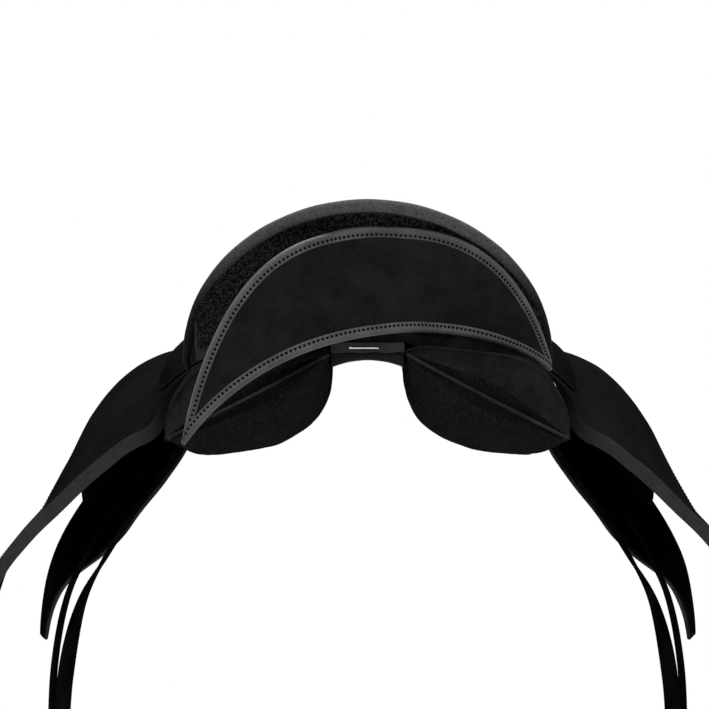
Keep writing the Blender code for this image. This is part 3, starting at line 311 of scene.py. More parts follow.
def micro_suede(name, dark, light, cloud, grain=0.00045, contrast=1.0):
    """Brushed synthetic suede: cloudy where the nap lies either way, with a fine grain."""
    made = Finish(name, specular_ior_level=0)
    lay = made.noise(cloud, 4.0, 0.62)
    broad = made.noise(cloud * 4.5, 2.0, 0.5)
    nap = made.noise(grain, 2.0, 0.7)
    patches = (lay * 0.6 + broad * 0.4).rise(0.5 - 0.16 / contrast, 0.5 + 0.16 / contrast)
    speck = nap.rise(0.32, 0.7)
    made.feed(base_color=made.shade(patches * 0.65 + speck * 0.35, black(dark), black(light)),
              roughness=0.94 - patches * 0.14)
    return made.relief(nap * 0.7 + made.noise(grain * 4, 2.0) * 0.5, 0.00022, 0.75).material


def pebbled_leather(name, dark, light, grain=0.0011, gloss=0.42, depth=0.00012, level=0.2):
    """Coated leather with a pebbled grain, worn lighter in broad random patches."""
    made = Finish(name, specular_ior_level=level)
    pebble = made.cells(grain)
    broad = made.noise(0.03, 3.0)
    fine = made.noise(grain * 0.35, 2.0)
    worn = (broad * 0.7 + fine * 0.3).rise(0.38, 0.68)
    made.feed(base_color=made.shade(worn, black(dark), black(light)),
              roughness=gloss + worn * 0.12 + fine * 0.1)
    return made.relief((1 - pebble).rise(0.15, 0.85) + fine * 0.3, depth, 0.8).material


def woven_cloth():
    """The panels' fine cloth: the crossings of its threads stand up a little lighter."""
    made = Finish("panel_cloth", specular_ior_level=0)
    weave = (1 - made.cells(0.0014)).rise(0.2, 0.9)
    cloudy = made.noise(0.022, 3.0)
    fluff = made.noise(0.0006, 2.0)
    tone = weave * 0.45 + cloudy * 0.35 + fluff * 0.2
    made.feed(base_color=made.shade(tone.rise(0.25, 0.75), black(0.0065), black(0.0175)),
              roughness=weave * 0.1 + 0.8)
    return made.relief(weave * 0.7 + fluff * 0.5, 0.00016, 0.8).material


def loop_pile():
    """The fuzzy half of the hook-and-loop: curled fibres with light tips."""
    made = Finish("loop_pile", sheen_weight=0.03, sheen_roughness=0.5, specular_ior_level=0.0)
    curl = made.noise(0.0026, 3.0, 0.75)
    tips = made.cells(0.0021)
    felted = made.noise(0.018, 2.0)
    fuzz = (curl * 0.6 + (1 - tips) * 0.4).rise(0.42, 0.66)
    made.feed(base_color=made.shade(fuzz * 0.85 + felted * 0.15, black(0.0008), black(0.042)),
              roughness=0.9 + fuzz * 0.1)
    return made.relief(fuzz, 0.0009, 1.0).material


def painted_top_light_roll():
    """The roll's suede: granular, with painted light that makes it lighter along the top of the cantle.
    """
    made = Finish("roll_suede", sheen_weight=0.08, sheen_roughness=0.4, specular_ior_level=0.0)
    height = made.axes()[2]
    cloud = made.noise(0.007, 4.0, 0.62)
    grain = made.noise(0.0022, 3.0, 0.75)
    # Painted highlight: the colour turns lighter with height, standing in for light from above.
    painted_light_share = height.rise(*ROLL_PAINTED_LIGHT_Z) * (cloud * 0.5 + 0.5)
    low = made.shade(grain.rise(0.35, 0.65), black(0.006), black(0.022))
    high = made.shade(grain.rise(0.25, 0.75), black(0.055), black(0.125))
    made.feed(base_color=made.shade(painted_light_share.rise(0.0, 0.85), low, high), roughness=0.95 - cloud * 0.1)
    return made.relief(grain, 0.0004, 0.9).material


def steel(name, tint=(0.66, 0.66, 0.67), gloss=0.22):
    """Bright plated steel with faint scratches and dull spots."""
    made = Finish(name, metallic=1.0)
    smudge = made.noise(0.006, 3.0)
    scratch = made.noise(0.0012, 2.0, 0.6, stretch=(0.08, 1.0, 1.0))
    dark = tuple(part * 0.72 for part in tint)
    made.feed(base_color=made.shade(smudge.rise(0.25, 0.8), dark, tint),
              roughness=gloss + smudge * 0.14 + scratch * 0.08)
    return made.relief(scratch, 0.00004, 0.5).material


def moulded_polymer():
    """The tree's moulded plastic: a satin face with fine flow marks."""
    made = Finish("moulded_polymer", specular_ior_level=0.4)
    flow = made.noise(0.02, 3.0, 0.5, stretch=(1.0, 0.25, 1.0))
    fine = made.noise(0.0007, 2.0)
    made.feed(base_color=made.shade(flow, (0.03, 0.03, 0.034), (0.06, 0.06, 0.064)),
              roughness=0.42 + fine * 0.15)
    return made.relief(fine, 0.0001, 0.4).material


def webbing(name, dark, light, rib=0.0022):
    """Flat woven webbing with ribs across it and a twill of threads."""
    made = Finish(name, sheen_weight=0.1, specular_ior_level=0.3)
    x, y, z = made.axes()
    ribs = ((x + z) * (2 * pi / rib)).wave() * 0.5 + 0.5
    threads = ((y * 2.0 + x * 0.6) * (2 * pi / 0.0011)).wave() * 0.5 + 0.5
    soil = made.noise(0.015, 3.0)
    tone = ribs * 0.4 + threads * 0.3 + soil * 0.3
    made.feed(base_color=made.shade(tone, dark, light), roughness=0.75 + soil * 0.2)
    return made.relief(ribs * 0.6 + threads * 0.4, 0.0003, 0.8).material


def layered_edge():
    """The cut edge of a padded flap: fine lines of its layers, a little lighter."""
    made = Finish("layered_edge", specular_ior_level=0.04)
    x, _, z = made.axes()
    away = (x * x) ** 0.5
    fibres = made.noise(0.0016, 3.0, 0.6)
    waver = made.noise(0.03, 3.0, 0.6) * 0.012
    lines = ((z + away * 0.8 + waver) * EDGE_LINES).wave() * 0.5 + 0.5
    cloud = made.noise(0.012, 3.0)
    light = (fibres * 0.4 + lines * 0.2 + cloud * 0.4) * away.rise(*EDGE_LIGHTENS)
    made.feed(base_color=made.shade(light, black(0.004), black(0.075)),
              roughness=0.62 + fibres * 0.25)
    return made.relief(fibres, 0.00025, 0.7).material


def thread(name, dark, light):
    """Waxed thread, twisted, with light catching its strands."""
    made = Finish(name, specular_ior_level=0.03)
    strand = made.noise(0.0004, 2.0)
    made.feed(base_color=made.shade(strand, black(dark), black(light)),
              roughness=0.5 + strand * 0.2)
    return made.relief(strand, 0.0001, 0.5).material


SUEDE = micro_suede("flap_suede", 0.0045, 0.01, 0.032, contrast=0.8)
SEAT_SUEDE = micro_suede("seat_suede", 0.005, 0.016, 0.022)
CRESCENT_SUEDE = micro_suede("crescent_suede", 0.008, 0.022, 0.02, 0.0016, 0.9)
RIM_SUEDE = painted_top_light_roll()
BINDING = pebbled_leather("binding", 0.05, 0.1, 0.0006, 0.36, 0.00007, 0.35)
PANEL_CLOTH = woven_cloth()
GUSSET = micro_suede("gusset_suede", 0.008, 0.023, 0.014, 0.0012, 0.9)
PIPING = pebbled_leather("piping", 0.01, 0.04, 0.0007, 0.5, level=0.05)
SMOOTH = pebbled_leather("smooth_leather", 0.0022, 0.0065, gloss=0.6, level=0.0)
# Painted light: the cantle back is coloured lighter than the gusset, so that its shaded band under the
# crescent shows lit.
BACK_CLOTH_PAINTED_LIGHT = micro_suede("cantle_back_cloth", 0.016, 0.055, 0.014, 0.0012, 0.9)
LINING_LEATHER = pebbled_leather("lining_leather", 0.003, 0.008, 0.0014, 0.5)
STRAP = pebbled_leather("strap_leather", 0.002, 0.006, 0.0008, 0.5, 0.00008, level=0.0)
BRIDGE = pebbled_leather("bridge_leather", 0.02, 0.045, 0.0009)
PILE = loop_pile()
EDGE = layered_edge()
STEEL = steel("plated_steel")
STAPLE = steel("bright_wire", (0.85, 0.85, 0.86), 0.12)
POLYMER = moulded_polymer()
GIRTH_WEB = webbing("girth_webbing", (0.2, 0.19, 0.16), (0.42, 0.4, 0.34))
TREE_WEB = webbing("tree_webbing_cloth", (0.14, 0.13, 0.11), (0.36, 0.34, 0.28), 0.0034)
DARK_THREAD = thread("dark_thread", 0.002, 0.005)
GREY_THREAD = thread("grey_thread", 0.035, 0.09)


def rim_centre(deg):
    """Centre of the cantle roll at an angle from the top of the arch."""
    phi = radians(abs(deg))
    spread = 1 + RIM_SPREAD * (1 - cos(phi))
    x = (RIM_HALF * spread - RIM_RADIUS) * sin(phi)
    y = CANTLE_Y + RIM_DEPTH * (1 - cos(phi))
    z = RIM_BASE_Z + (RIM_RISE * spread - RIM_RADIUS) * cos(phi)
    return Vector((x if deg > 0 else -x, y, z))


def rim_inside(deg):
    """Where the seat meets the roll, on its inner side in plan."""
    phi = radians(deg)
    outward = Vector((RIM_DEPTH * sin(phi), -RIM_HALF * cos(phi), 0)).normalized()
    return rim_centre(deg) - outward * (RIM_RADIUS + 2 * GAP) + Vector((0, 0, 0.002))


SEAT_EDGE = [rim_inside(deg) for deg in (8, 29, 50, 70, 88)] + [
    Vector(point) for point in (
        (0.1285, -0.062, 0.094), (0.0975, -0.002, 0.1015), (0.084, 0.05, 0.109),
        (0.08, 0.1, 0.116), (0.077, 0.145, 0.129), (0.068, 0.18, 0.143),
        (0.045, 0.206, 0.155), (0.012, 0.2165, 0.16))]
SEAT_SPINE = [
    (0, -0.2335, 0.205), (0, -0.205, 0.175), (0, -0.172, 0.152), (0, -0.142, 0.1365),
    (0, -0.115, 0.128), (0, -0.06, 0.1185), (0, 0, 0.117), (0, 0.05, 0.122),
    (0, 0.1, 0.134), (0, 0.145, 0.15), (0, 0.18, 0.163), (0, 0.203, 0.168),
    (0, 0.212, 0.165)]
COVER_LIP = 0.0085


def seat_point(v, r, depth=0.0):
    """A point of the seat: v runs from the cantle to the pommel, r from -1 to 1 across."""
    edge = through(SEAT_EDGE, v)
    spine = through(SEAT_SPINE, v)
    share = r * r
    return Vector((edge.x * r, mix(spine.y, edge.y, share), mix(spine.z, edge.z, share) - depth))


def turn_table():
    """Arc lengths round the back of the cantle, and the ellipse angles there."""
    lengths, angles, step = [0.0], [0.0], 0.004
    while lengths[-1] < 0.2:
        turn = angles[-1] + step / 2
        rate = sqrt((FACING_HALF * cos(turn)) ** 2 + (FACING_DEPTH * sin(turn)) ** 2)
        lengths.append(lengths[-1] + rate * step)
        angles.append(angles[-1] + step)
    return lengths, angles


TURNS = turn_table()


def facing_turn(s):
    """The ellipse angle at an arc length round the back of the cantle."""
    lengths, angles = TURNS
    place = min(bisect_right(lengths, abs(s)), len(lengths) - 1)
    low, high = lengths[place - 1], lengths[place]
    turn = mix(angles[place - 1], angles[place], (abs(s) - low) / (high - low))
    return turn if s > 0 else -turn


def facing_point(s, z, out=0.0):
    """A point on the back of the cantle: s is the arc length round it, out the height off it."""
    turn = facing_turn(s)
    x = FACING_HALF * sin(turn)
    y = FACING_Y + FACING_DEPTH * (1 - cos(turn)) + FACING_LEAN * (FACING_LEVEL - z)
    fall = FACING_HALF * cos(turn)
    normal = Vector((FACING_DEPTH * sin(turn), -fall, -FACING_LEAN * fall)).normalized()
    return Vector((x, y, z)) + normal * out


RIM_LINE = [rim_centre(deg) for deg in steps(-92, 92, 93)]


def facing_top(s, clear):
    """Height on the back of the cantle where it just clears the roll's underside."""
    z = RIM_BASE_Z + RIM_RISE
    while z > RIM_BASE_Z:
        place = facing_point(s, z)
        arch = sqrt(max(1 - (place.x / (RIM_HALF + 0.008)) ** 2, 0.0))
        nearest = min((place - centre).length for centre in RIM_LINE)
        if z < RIM_BASE_Z + (RIM_RISE - RIM_RADIUS) * arch and nearest > RIM_RADIUS + clear:
            return z
        z -= 0.0005
    return z


def crescent_high(s):
    """Upper edge of the crescent flap in its flat pattern."""
    return FLAP_TOP_Z - FLAP_TOP_FALL * (abs(s) / FLAP_TIP_S) ** FLAP_TOP_POWER


def crescent_low(s):
    """Lower edge of the crescent flap in its flat pattern."""
    return FLAP_LOW_Z - FLAP_LOW_FALL * (abs(s) / FLAP_TIP_S) ** FLAP_LOW_POWER


def peel_frame():
    """A point of the crescent's outer face, the way across to the fixed part, and the hinge axis."""
    point = facing_point(PEEL_S, PEEL_Z, CRESCENT_IN + CRESCENT_THICK)
    rise = Vector((0, -FACING_LEAN, 1)).normalized()
    turn = facing_turn(PEEL_S)
    run = Vector((FACING_HALF * cos(turn), FACING_DEPTH * sin(turn), 0))
    run = (run - rise * run.dot(rise)).normalized()
    lean = radians(PEEL_LEAN_DEG)
    return point, run * cos(lean) + rise * sin(lean), rise * cos(lean) - run * sin(lean)


PEEL_POINT, PEEL_ACROSS, PEEL_AXIS = peel_frame()


def peeled(point):
    """Where a point of the closed crescent lies with its left part peeled off the pad."""
    away = -(point - PEEL_POINT).dot(PEEL_ACROSS)
    turn = radians(PEEL_DEG) * ease(away, -PEEL_BEND, PEEL_BEND)
    if turn == 0:
        return point
    return Matrix.Rotation(turn, 3, PEEL_AXIS) @ (point - PEEL_POINT) + PEEL_POINT


REAR_LOWER = [(0.03, 0.086), (0.0305, 0.064), (0.0345, 0.045), (0.043, 0.03),
              (0.058, 0.018), (0.079, 0.008), (0.102, 0.003), (0.126, 0.0005),
              (0.15, 0.002), (0.169, 0.014)]
PANEL_LOWER = (
    REAR_LOWER, REAR_LOWER,
    [(0.0318, 0.072), (0.0355, 0.054), (0.042, 0.037), (0.052, 0.0235), (0.064, 0.0135),
     (0.078, 0.0065), (0.091, 0.004), (0.104, 0.005), (0.115, 0.011),
     (0.121, 0.02)],
    [(0.042, 0.093), (0.045, 0.072), (0.051, 0.051), (0.06, 0.032), (0.073, 0.014),
     (0.092, 0.002), (0.115, -0.006), (0.14, -0.013), (0.162, -0.016),
     (0.176, -0.009)])
PANEL_UPPER = (
    [(0.169, 0.014), (0.17, 0.027), (0.1665, 0.043), (0.1575, 0.059), (0.1475, 0.0715),
     (0.129, 0.083), (0.093, 0.0885), (0.065, 0.0905), (0.045, 0.0915), (0.03, 0.087)],
    [(0.169, 0.014), (0.17, 0.029), (0.164, 0.044), (0.153, 0.057), (0.137, 0.068),
     (0.116, 0.0755), (0.092, 0.0795), (0.065, 0.084), (0.045, 0.087), (0.03, 0.086)],
    [(0.121, 0.02), (0.122, 0.033), (0.119, 0.045), (0.113, 0.055), (0.104, 0.063),
     (0.091, 0.069), (0.076, 0.0725), (0.06, 0.074), (0.044, 0.074), (0.0318, 0.072)],
    [(0.176, -0.009), (0.174, 0.004), (0.166, 0.019), (0.154, 0.034), (0.139, 0.049),
     (0.121, 0.063), (0.101, 0.075), (0.08, 0.085), (0.06, 0.092), (0.042, 0.093)])


def panel_section(tables, y, share):
    """A point across the panel's lower or upper side in the full section at y."""
    place = 0
    while place < len(PANEL_STATIONS) - 2 and y > PANEL_STATIONS[place + 1]:
        place += 1
    smooth = ease(y, *PANEL_STATIONS[place:place + 2])
    pair = [through([(a, b, 0) for a, b in tables[i]], share) for i in (place, place + 1)]
    return pair[0] * (1 - smooth) + pair[1] * smooth


def seam_line(share):
    """The diagonal seam of the rear end, from the outer lower corner to the inner top."""
    bow = Vector((-0.01, 0.004)) * sin(pi * share)
    return Vector(REAR_LOWER[-1]) * (1 - share) + Vector(REAR_LOWER[0]) * share + bow


def fullness(distance, run):
    """How far a section has swelled at a distance from the end: round, from 0 to 1."""
    return sqrt(1 - (1 - min(max(distance / run, 0.0), 1.0)) ** 2)


def sweep(x):
    """How far the rear of a panel sweeps forward at a place across."""
    return PANEL_SWEEP * (1 - sqrt(1 - min(x / PANEL_SWEEP_HALF, 0.95) ** 2))


def panel_point(y, share, upper, side):
    """A point of a panel's skin; share runs from gullet to outer corner, or back over the top."""
    full = panel_section(PANEL_UPPER if upper else PANEL_LOWER, y, share)
    run = SEAM_UPPER_RUN if upper else SEAM_LOWER_RUN
    if y < PANEL_REAR_Y + SEAM_LOWER_RUN:
        line = seam_line(share if upper else 1 - share)
        rear = fullness(y - PANEL_REAR_Y, run) * (1 - SEAM_TAPER)
        rear += SEAM_TAPER * (y > PANEL_REAR_Y)
        full = Vector((mix(line.x, full.x, rear), mix(line.y, full.y, rear), 0))
    front = fullness(PANEL_FRONT_Y - y, FRONT_RUN)
    if front < 1:
        full = PANEL_HEART + (Vector((*full.xy, 0)) - PANEL_HEART) * mix(FRONT_SHARE, 1, front)
    fade = 1 - min(max((y - PANEL_REAR_Y) / SWEEP_FADE, 0), 1)
    return Vector((full.x * side, y + sweep(full.x) * fade, full.y))


FLAP_REAR = [(0.09, 0.088), (0.138, 0.0765), (0.17, 0.052), (0.187, 0.018),
             (0.211, -0.01), (0.239, -0.033), (0.267, -0.058), (0.294, -0.082),
             (0.32, -0.116), (0.342, -0.166)]
FLAP_FRONT = [(0.084, 0.104), (0.128, 0.0975), (0.176, 0.089), (0.217, 0.0745),
              (0.25, 0.05), (0.279, 0.013), (0.305, -0.034), (0.333, -0.08),
              (0.362, -0.12), (0.378, -0.17)]
UNDER_REAR = [(0.112, 0.077), (0.144, 0.067), (0.154, 0.04), (0.147, 0.003),
              (0.163, -0.033), (0.187, -0.068), (0.209, -0.103), (0.231, -0.143),
              (0.245, -0.205), (0.25, -0.278)]
UNDER_FRONT = [(0.104, 0.0895), (0.142, 0.07), (0.174, 0.043), (0.205, 0.011),
               (0.24, -0.018), (0.275, -0.051), (0.307, -0.099), (0.325, -0.145),
               (0.333, -0.205), (0.334, -0.278)]
FLAP = (FLAP_REAR, FLAP_FRONT)
UNDER = (UNDER_REAR, UNDER_FRONT)


def drape(pair, t, y, lift=0.0, side=1):
    """A point on a ruled surface that hangs from the seat, lifted off its outer face."""
    share = (y - DRAPE_REAR_Y) / (DRAPE_FRONT_Y - DRAPE_REAR_Y)

    def spot(t_value, share_value):
        rear = through([(a, DRAPE_REAR_Y, b) for a, b in pair[0]], t_value)
        front = through([(a, DRAPE_FRONT_Y, b) for a, b in pair[1]], t_value)
        return rear * (1 - share_value) + front * share_value

    point = spot(t, share)
    if lift:
        small = 0.004
        down = spot(min(t + small, 1), share) - spot(max(t - small, 0), share)
        along = spot(t, share + small) - spot(t, share - small)
        point += facing_out(along.cross(down).normalized()) * lift
    return mirrored(point, side)


END_HALF = 0.016


def outline(points, round_from, middle):
    """An outline's y as a smooth function of the share t down a flap, rounded in at its end."""
    end = points[-1][0]

    def at(t):
        for (t0, y0), (t1, y1) in zip(points, points[1:]):
            if t <= t1 + 1e-9:
                y = mix(y0, y1, ease(t, t0, t1))
                break
        if t > round_from:
            fall = ((t - round_from) / (end - round_from)) ** 2
            width = mix(END_HALF, abs(y - middle), sqrt(max(1 - fall, 0)))
            y = middle + (width if y > middle else -width)
        return y
    return at


flap_rear = outline([(0.11, -0.098), (0.4, -0.07), (1.0, -0.046)], 0.74, FLAP_MIDDLE_Y)
flap_front = outline([(0.11, 0.19), (0.4, 0.212), (0.66, 0.232), (1.0, 0.19)], 0.7,
                     FLAP_MIDDLE_Y)
skirt_rear = outline([(0.045, 0.014), (0.11, -0.036), (SKIRT_END, -0.046)], SKIRT_ROUND,
                     SKIRT_MIDDLE_Y)
skirt_front = outline([(0.045, 0.16), (0.16, 0.168), (SKIRT_END, 0.16)], SKIRT_ROUND,
                      SKIRT_MIDDLE_Y)
under_rear = outline([(0.0, -0.038), (0.58, -0.026), (UNDER_END, 0.135)], 0.66, UNDER_MIDDLE_Y)
under_front = outline([(0.0, 0.18), (0.45, 0.2), (UNDER_END, 0.196)], 0.66, UNDER_MIDDLE_Y)


def flap_start(y):
    """Where the flap's top edge lies, just outside the seat's edge."""
    return 0.005 + 0.11 * ease(0.06 - y, 0.0, 0.14)


def skirt_lift(t, y):
    """Height of the skirt's inner face: arched over the stirrup bar and closed at its rear edge."""
    share = min(t / SKIRT_END, 1.0)
    low = LEATHER + 2 * GAP
    arch = mix(0.0085, low, share) + SKIRT_BULGE * sin(pi * share ** 0.6)
    rear = skirt_rear(t) if t > SKIRT_FOLD else SKIRT_ROOT_Y[0]
    run = mix(*SKIRT_OPENS, min(max((t - SKIRT_FOLD) / 0.05, 0.0), 1.0))
    return mix(low, arch, ease(y - rear, 0.0, run))


def add_object(name, data):
    """Link a new object to the scene."""
    made = bpy.data.objects.new(name, data)
    bpy.context.scene.collection.objects.link(made)
    return made


def as_mesh(bm, name):
    """The mesh of a bmesh that is done with."""
    mesh = bpy.data.meshes.new(name)
    bm.to_mesh(mesh)
    bm.free()
    return mesh


def place(mesh, finish, slot, body, replaced=(), smooth_deg=50):
    """Put a mesh in the scene as a piece of the saddle: it rides on a body given by its name, and stays
    fixed where it is when given a blend between two bodies.
    """
    piece = add_object(mesh.name, mesh)
    for each in finish if isinstance(finish, tuple) else (finish,):
        mesh.materials.append(each)
    mesh.shade_smooth()
    mesh.set_sharp_from_angle(angle=radians(smooth_deg))
    if replaced:
        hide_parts(*replaced)
    if isinstance(body, str):
        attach(piece, body)
    else:
        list(body)
        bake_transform(piece)
    return piece


def closed(bm, name):
    """A mesh of a closed form with its faces turned out."""
    bmesh.ops.recalc_face_normals(bm, faces=bm.faces)
    if bm.calc_volume(signed=True) < 0:
        bmesh.ops.reverse_faces(bm, faces=bm.faces)
    return as_mesh(bm, name)


def add_grid(bm, rows):
    """Add the quads of a grid of points and return its vertices by row."""
    verts = [[bm.verts.new(point) for point in row] for row in rows]
    for low, high in zip(verts, verts[1:]):
        for i in range(len(low) - 1):
            bm.faces.new((low[i], low[i + 1], high[i + 1], high[i]))
    return verts


def add_bead(bm, spot, axes, size, fineness=1):
    """Add a small ellipsoid whose half sizes lie along three axes."""
    turn = Matrix(axes).transposed().to_4x4()
    bmesh.ops.create_icosphere(
        bm, subdivisions=fineness, radius=1,
        matrix=Matrix.Translation(spot) @ turn @ Matrix.Diagonal((*size, 1)))


def run_at(points, i):
    """The way that a line of points runs at one of them."""
    return points[min(i + 1, len(points) - 1)] - points[max(i - 1, 0)]


def facing_out(normal):
    """A normal of the right side turned away from the horse."""
    return normal if normal.x + normal.z > 0 else -normal


def around(grid):
    """The vertices round the border of a grid, in order."""
    right = [row[-1] for row in grid[1:-1]]
    left = [row[0] for row in reversed(grid[1:-1])]
    return list(grid[0]) + right + list(reversed(grid[-1])) + left


REARWARD = Vector((0, -1, 0))
UPWARD = Vector((0, 0, 1))
ROUND_EDGE = ((0.94, 0.3), (0.75, 0.8), (0.5, 1.0), (0.25, 0.8), (0.06, 0.3))
LAYERS = ((0.96, 0.25), (0.86, 0.75), (0.7, 0.8), (0.66, 0.45), (0.62, 0.85), (0.5, 0.95),
          (0.38, 0.85), (0.34, 0.45), (0.3, 0.8), (0.14, 0.75), (0.04, 0.25))


def padded_sheet(name, at, us, vs, profile=ROUND_EDGE, bulge=0.0006, edge_slot=0):
    """A closed sheet: at(u, v, share) gives its points from its inner face to its outer one."""
    bm = bmesh.new()
    outer = add_grid(bm, [[at(u, v, 1.0) for v in vs] for u in us])
    inner = add_grid(bm, [[at(u, v, 0.0) for v in vs] for u in us])
    rim_out, rim_in = around(outer), around(inner)
    count = len(rim_out)
    rings = [rim_out]
    middle = sum((vert.co for vert in rim_out), Vector()) / count
    for share, out in profile:
        ring = []
        for i, (a, b) in enumerate(zip(rim_out, rim_in)):
            run = rim_out[(i + 1) % count].co - rim_out[i - 1].co
            through_it = a.co - b.co
            away = run.cross(through_it)
            away.normalize()
            if away.dot(a.co - middle) < 0:
                away.negate()
            ring.append(bm.verts.new(b.co.lerp(a.co, share) + away * bulge * out))
        rings.append(ring)
    rings.append(rim_in)
    for high, low in zip(rings, rings[1:]):
        for i in range(count):
            j = (i + 1) % count
            face = bm.faces.new((high[i], high[j], low[j], low[i]))
            face.material_index = edge_slot
    return closed(bm, name)


def loft(name, rings):
    """A closed form through rings of equal count, capped at both ends."""
    bm = bmesh.new()
    verts = [[bm.verts.new(point) for point in ring] for ring in rings]
    for low, high in zip(verts, verts[1:]):
        for i in range(len(low)):
            j = (i + 1) % len(low)
            bm.faces.new((low[i], low[j], high[j], high[i]))
    bm.faces.new(verts[0])
    bm.faces.new(verts[-1])
    return closed(bm, name)


def roll(name, points, radius, sides=12, top=UPWARD):
    """A round roll along points; radius(share, angle) lets it pucker."""
    rings = []
    angles = [2 * pi * k / sides for k in range(sides)]
    for i, point in enumerate(points):
        run = run_at(points, i).normalized()
        across = run.cross(top).normalized()
        up = across.cross(run)
        share = i / (len(points) - 1)
        rings.append([point + (across * cos(angle) + up * sin(angle)) * radius(share, angle)
                      for angle in angles])
    return loft(name, rings)


def stitches(name, path, out, finish, body, slot, length=0.0026, radius=0.00032, pitch=PITCH):
    """A row of thread stitches along a path; out is the way off the surface."""
    bm = bmesh.new()
    for point, run in evenly(path, pitch):
        add_bead(bm, point, (run, run.cross(out).normalized(), out), (length / 2, radius, radius))
    return place(as_mesh(bm, name), finish, slot, body)


SEAT_REACH = 0.985
SEAT_SEAM_R = 0.6
WELT = 0.0011
UNDER_CLEAR = 0.0005
COVER_THICK = 0.0025
FOAM_EDGE = 0.005
FOAM_MIDDLE = 0.018


def seat_seam(v):
    """How far out the long seam runs at a place along the seat."""
    return SEAT_SEAM_R * mix(1, 0.55, ease(v, 0.55, 0.95))


def seat_top(v, r, raised=0.0):
    """The stuffed seat's upper side: it crowns between the seams and sinks at each of them."""
    seam = seat_seam(v)
    off = abs(abs(r) - seam)
    sink = 0.0014 * max(0.0, 1 - off / 0.05) ** 2 * (1 - ease(v, 0.93, 1.0))
    crown = 0.0011 * (1 - (r / seam) ** 2) if abs(r) < seam else 0.0008 * sin(
        pi * (abs(r) - seam) / (1 - seam))
    edge = 0.0045 * ease(abs(r), 0.93, 1.0) ** 2 + 0.003 * ease(0.035 - v, 0, 0.035)
    point = seat_point(v, r * SEAT_REACH)
    return point + UPWARD * (crown - sink - edge + ruffle(point, 0.028, 0.0004) + raised)


def foam_depth(v, r):
    """Depth of the foam's underside below the top of the seat."""
    taper = max(min(1, v / 0.12, (1 - v) / 0.1), 0)
    return COVER_THICK + FOAM_EDGE + (FOAM_MIDDLE - FOAM_EDGE) * (1 - r * r) * taper


def make_seat():
    """The stuffed seat with its two long welted seams."""
    vs = [0.0, 0.008] + steps(0.022, 0.985, 74) + [0.994, 1.0]
    rs = [-1.0, -0.99] + steps(-0.97, 0.97, 55) + [0.99, 1.0]

    def cushion(v, r, share):
        under = seat_point(v, r * SEAT_REACH, foam_depth(v, r) + UNDER_CLEAR)
        return under.lerp(seat_top(v, r), share)

    mesh = padded_sheet("seat_cushion", cushion, vs, rs, bulge=0.001)
    seat = place(mesh, SEAT_SUEDE, "suede", "saddle", ("seat_cover", "seat_foam"))
    for name, side in SIDES.items():
        line = [seat_top(v, seat_seam(v) * side, WELT * 0.35) for v in steps(0.03, 0.93, 120)]
        mesh = roll(f"seat_welt_{name}", line, lambda share, angle: WELT, 8)
        place(mesh, PIPING, "piping", "saddle")
        for row, off in (("inner", -0.03), ("outer", 0.03)):
            path = [seat_top(v, (seat_seam(v) + off) * side, 0.0001)
                    for v in steps(0.04, 0.92, 160)]
            stitches(f"seat_stitches_{row}_{name}", path, UPWARD, DARK_THREAD, "saddle", "suede")


ROLL_END_SHARE = 0.6
ROLL_OUT = 0.0014


def rim_radius(share, angle):
    """The roll's radius, thinner at its ends, with puckers on the side that is sewn down."""
    deg = (2 * share - 1) * RIM_END_DEG
    taper = mix(1.0, ROLL_END_SHARE, (abs(deg) / RIM_END_DEG) ** 2.4)
    sewn = max(0.0, -sin(angle)) ** 2
    pucker = 0.0002 * sin(deg * 3.1) * sewn + 0.0001 * sin(deg * 0.37 + 2.0)
    end = sqrt(max(1 - ((abs(deg) - 92) / 4.2) ** 2, 0.02)) if abs(deg) > 92 else 1.0
    return (RIM_RADIUS * taper + pucker) * end


def roll_centre(deg):
    """The middle of the roll, moved out where it thins so that its outer line stays."""
    centre = rim_centre(deg)
    outward = Vector((centre.x, 0, centre.z - RIM_BASE_Z)).normalized()
    thinned = RIM_RADIUS * (1 - ROLL_END_SHARE) * (abs(deg) / RIM_END_DEG) ** 2.4
    return centre + outward * (thinned + ROLL_OUT * sin(radians(abs(deg))) ** 4)


def make_cantle_roll():
    """The roll round the cantle with the welt that closes it against the back."""
    points = [roll_centre(deg) for deg in steps(-RIM_END_DEG, RIM_END_DEG, 190)]
    mesh = roll("cantle_roll", points, rim_radius, 18, Vector((0, -0.3, 1)))
    place(mesh, RIM_SUEDE, "rim", "saddle", ("cantle_rim",))
    welt = []
    for deg in steps(-90, 90, 150):
        centre = roll_centre(deg)
        inward = Vector((-centre.x, 0, RIM_BASE_Z - centre.z)).normalized()
        radius = rim_radius((deg / RIM_END_DEG + 1) / 2, 0)
        welt.append(centre + (inward * 0.93 + Vector((0, -0.36, 0))).normalized() * radius)
    mesh = roll("cantle_roll_welt", welt, lambda share, angle: 0.0009, 8)
    place(mesh, PIPING, "piping", "saddle")
    path = [point + Vector((0, -0.0009, -0.0002)) for point in welt]
    stitches("cantle_roll_stitches", path, REARWARD, DARK_THREAD, "saddle", "rim", 0.002, 0.00028)


TUCK = 0.0016
PILE_REACH = 0.153
PILE_LOW = 0.01
BACK_THICK = 0.002


def facing_low(s):
    """The lower edge of the cantle's back."""
    return FACING_LOW_Z - 0.012 * (abs(s) / FACING_REACH) ** 3 - 0.0045 * ease(abs(s), 0.028, 0.045)


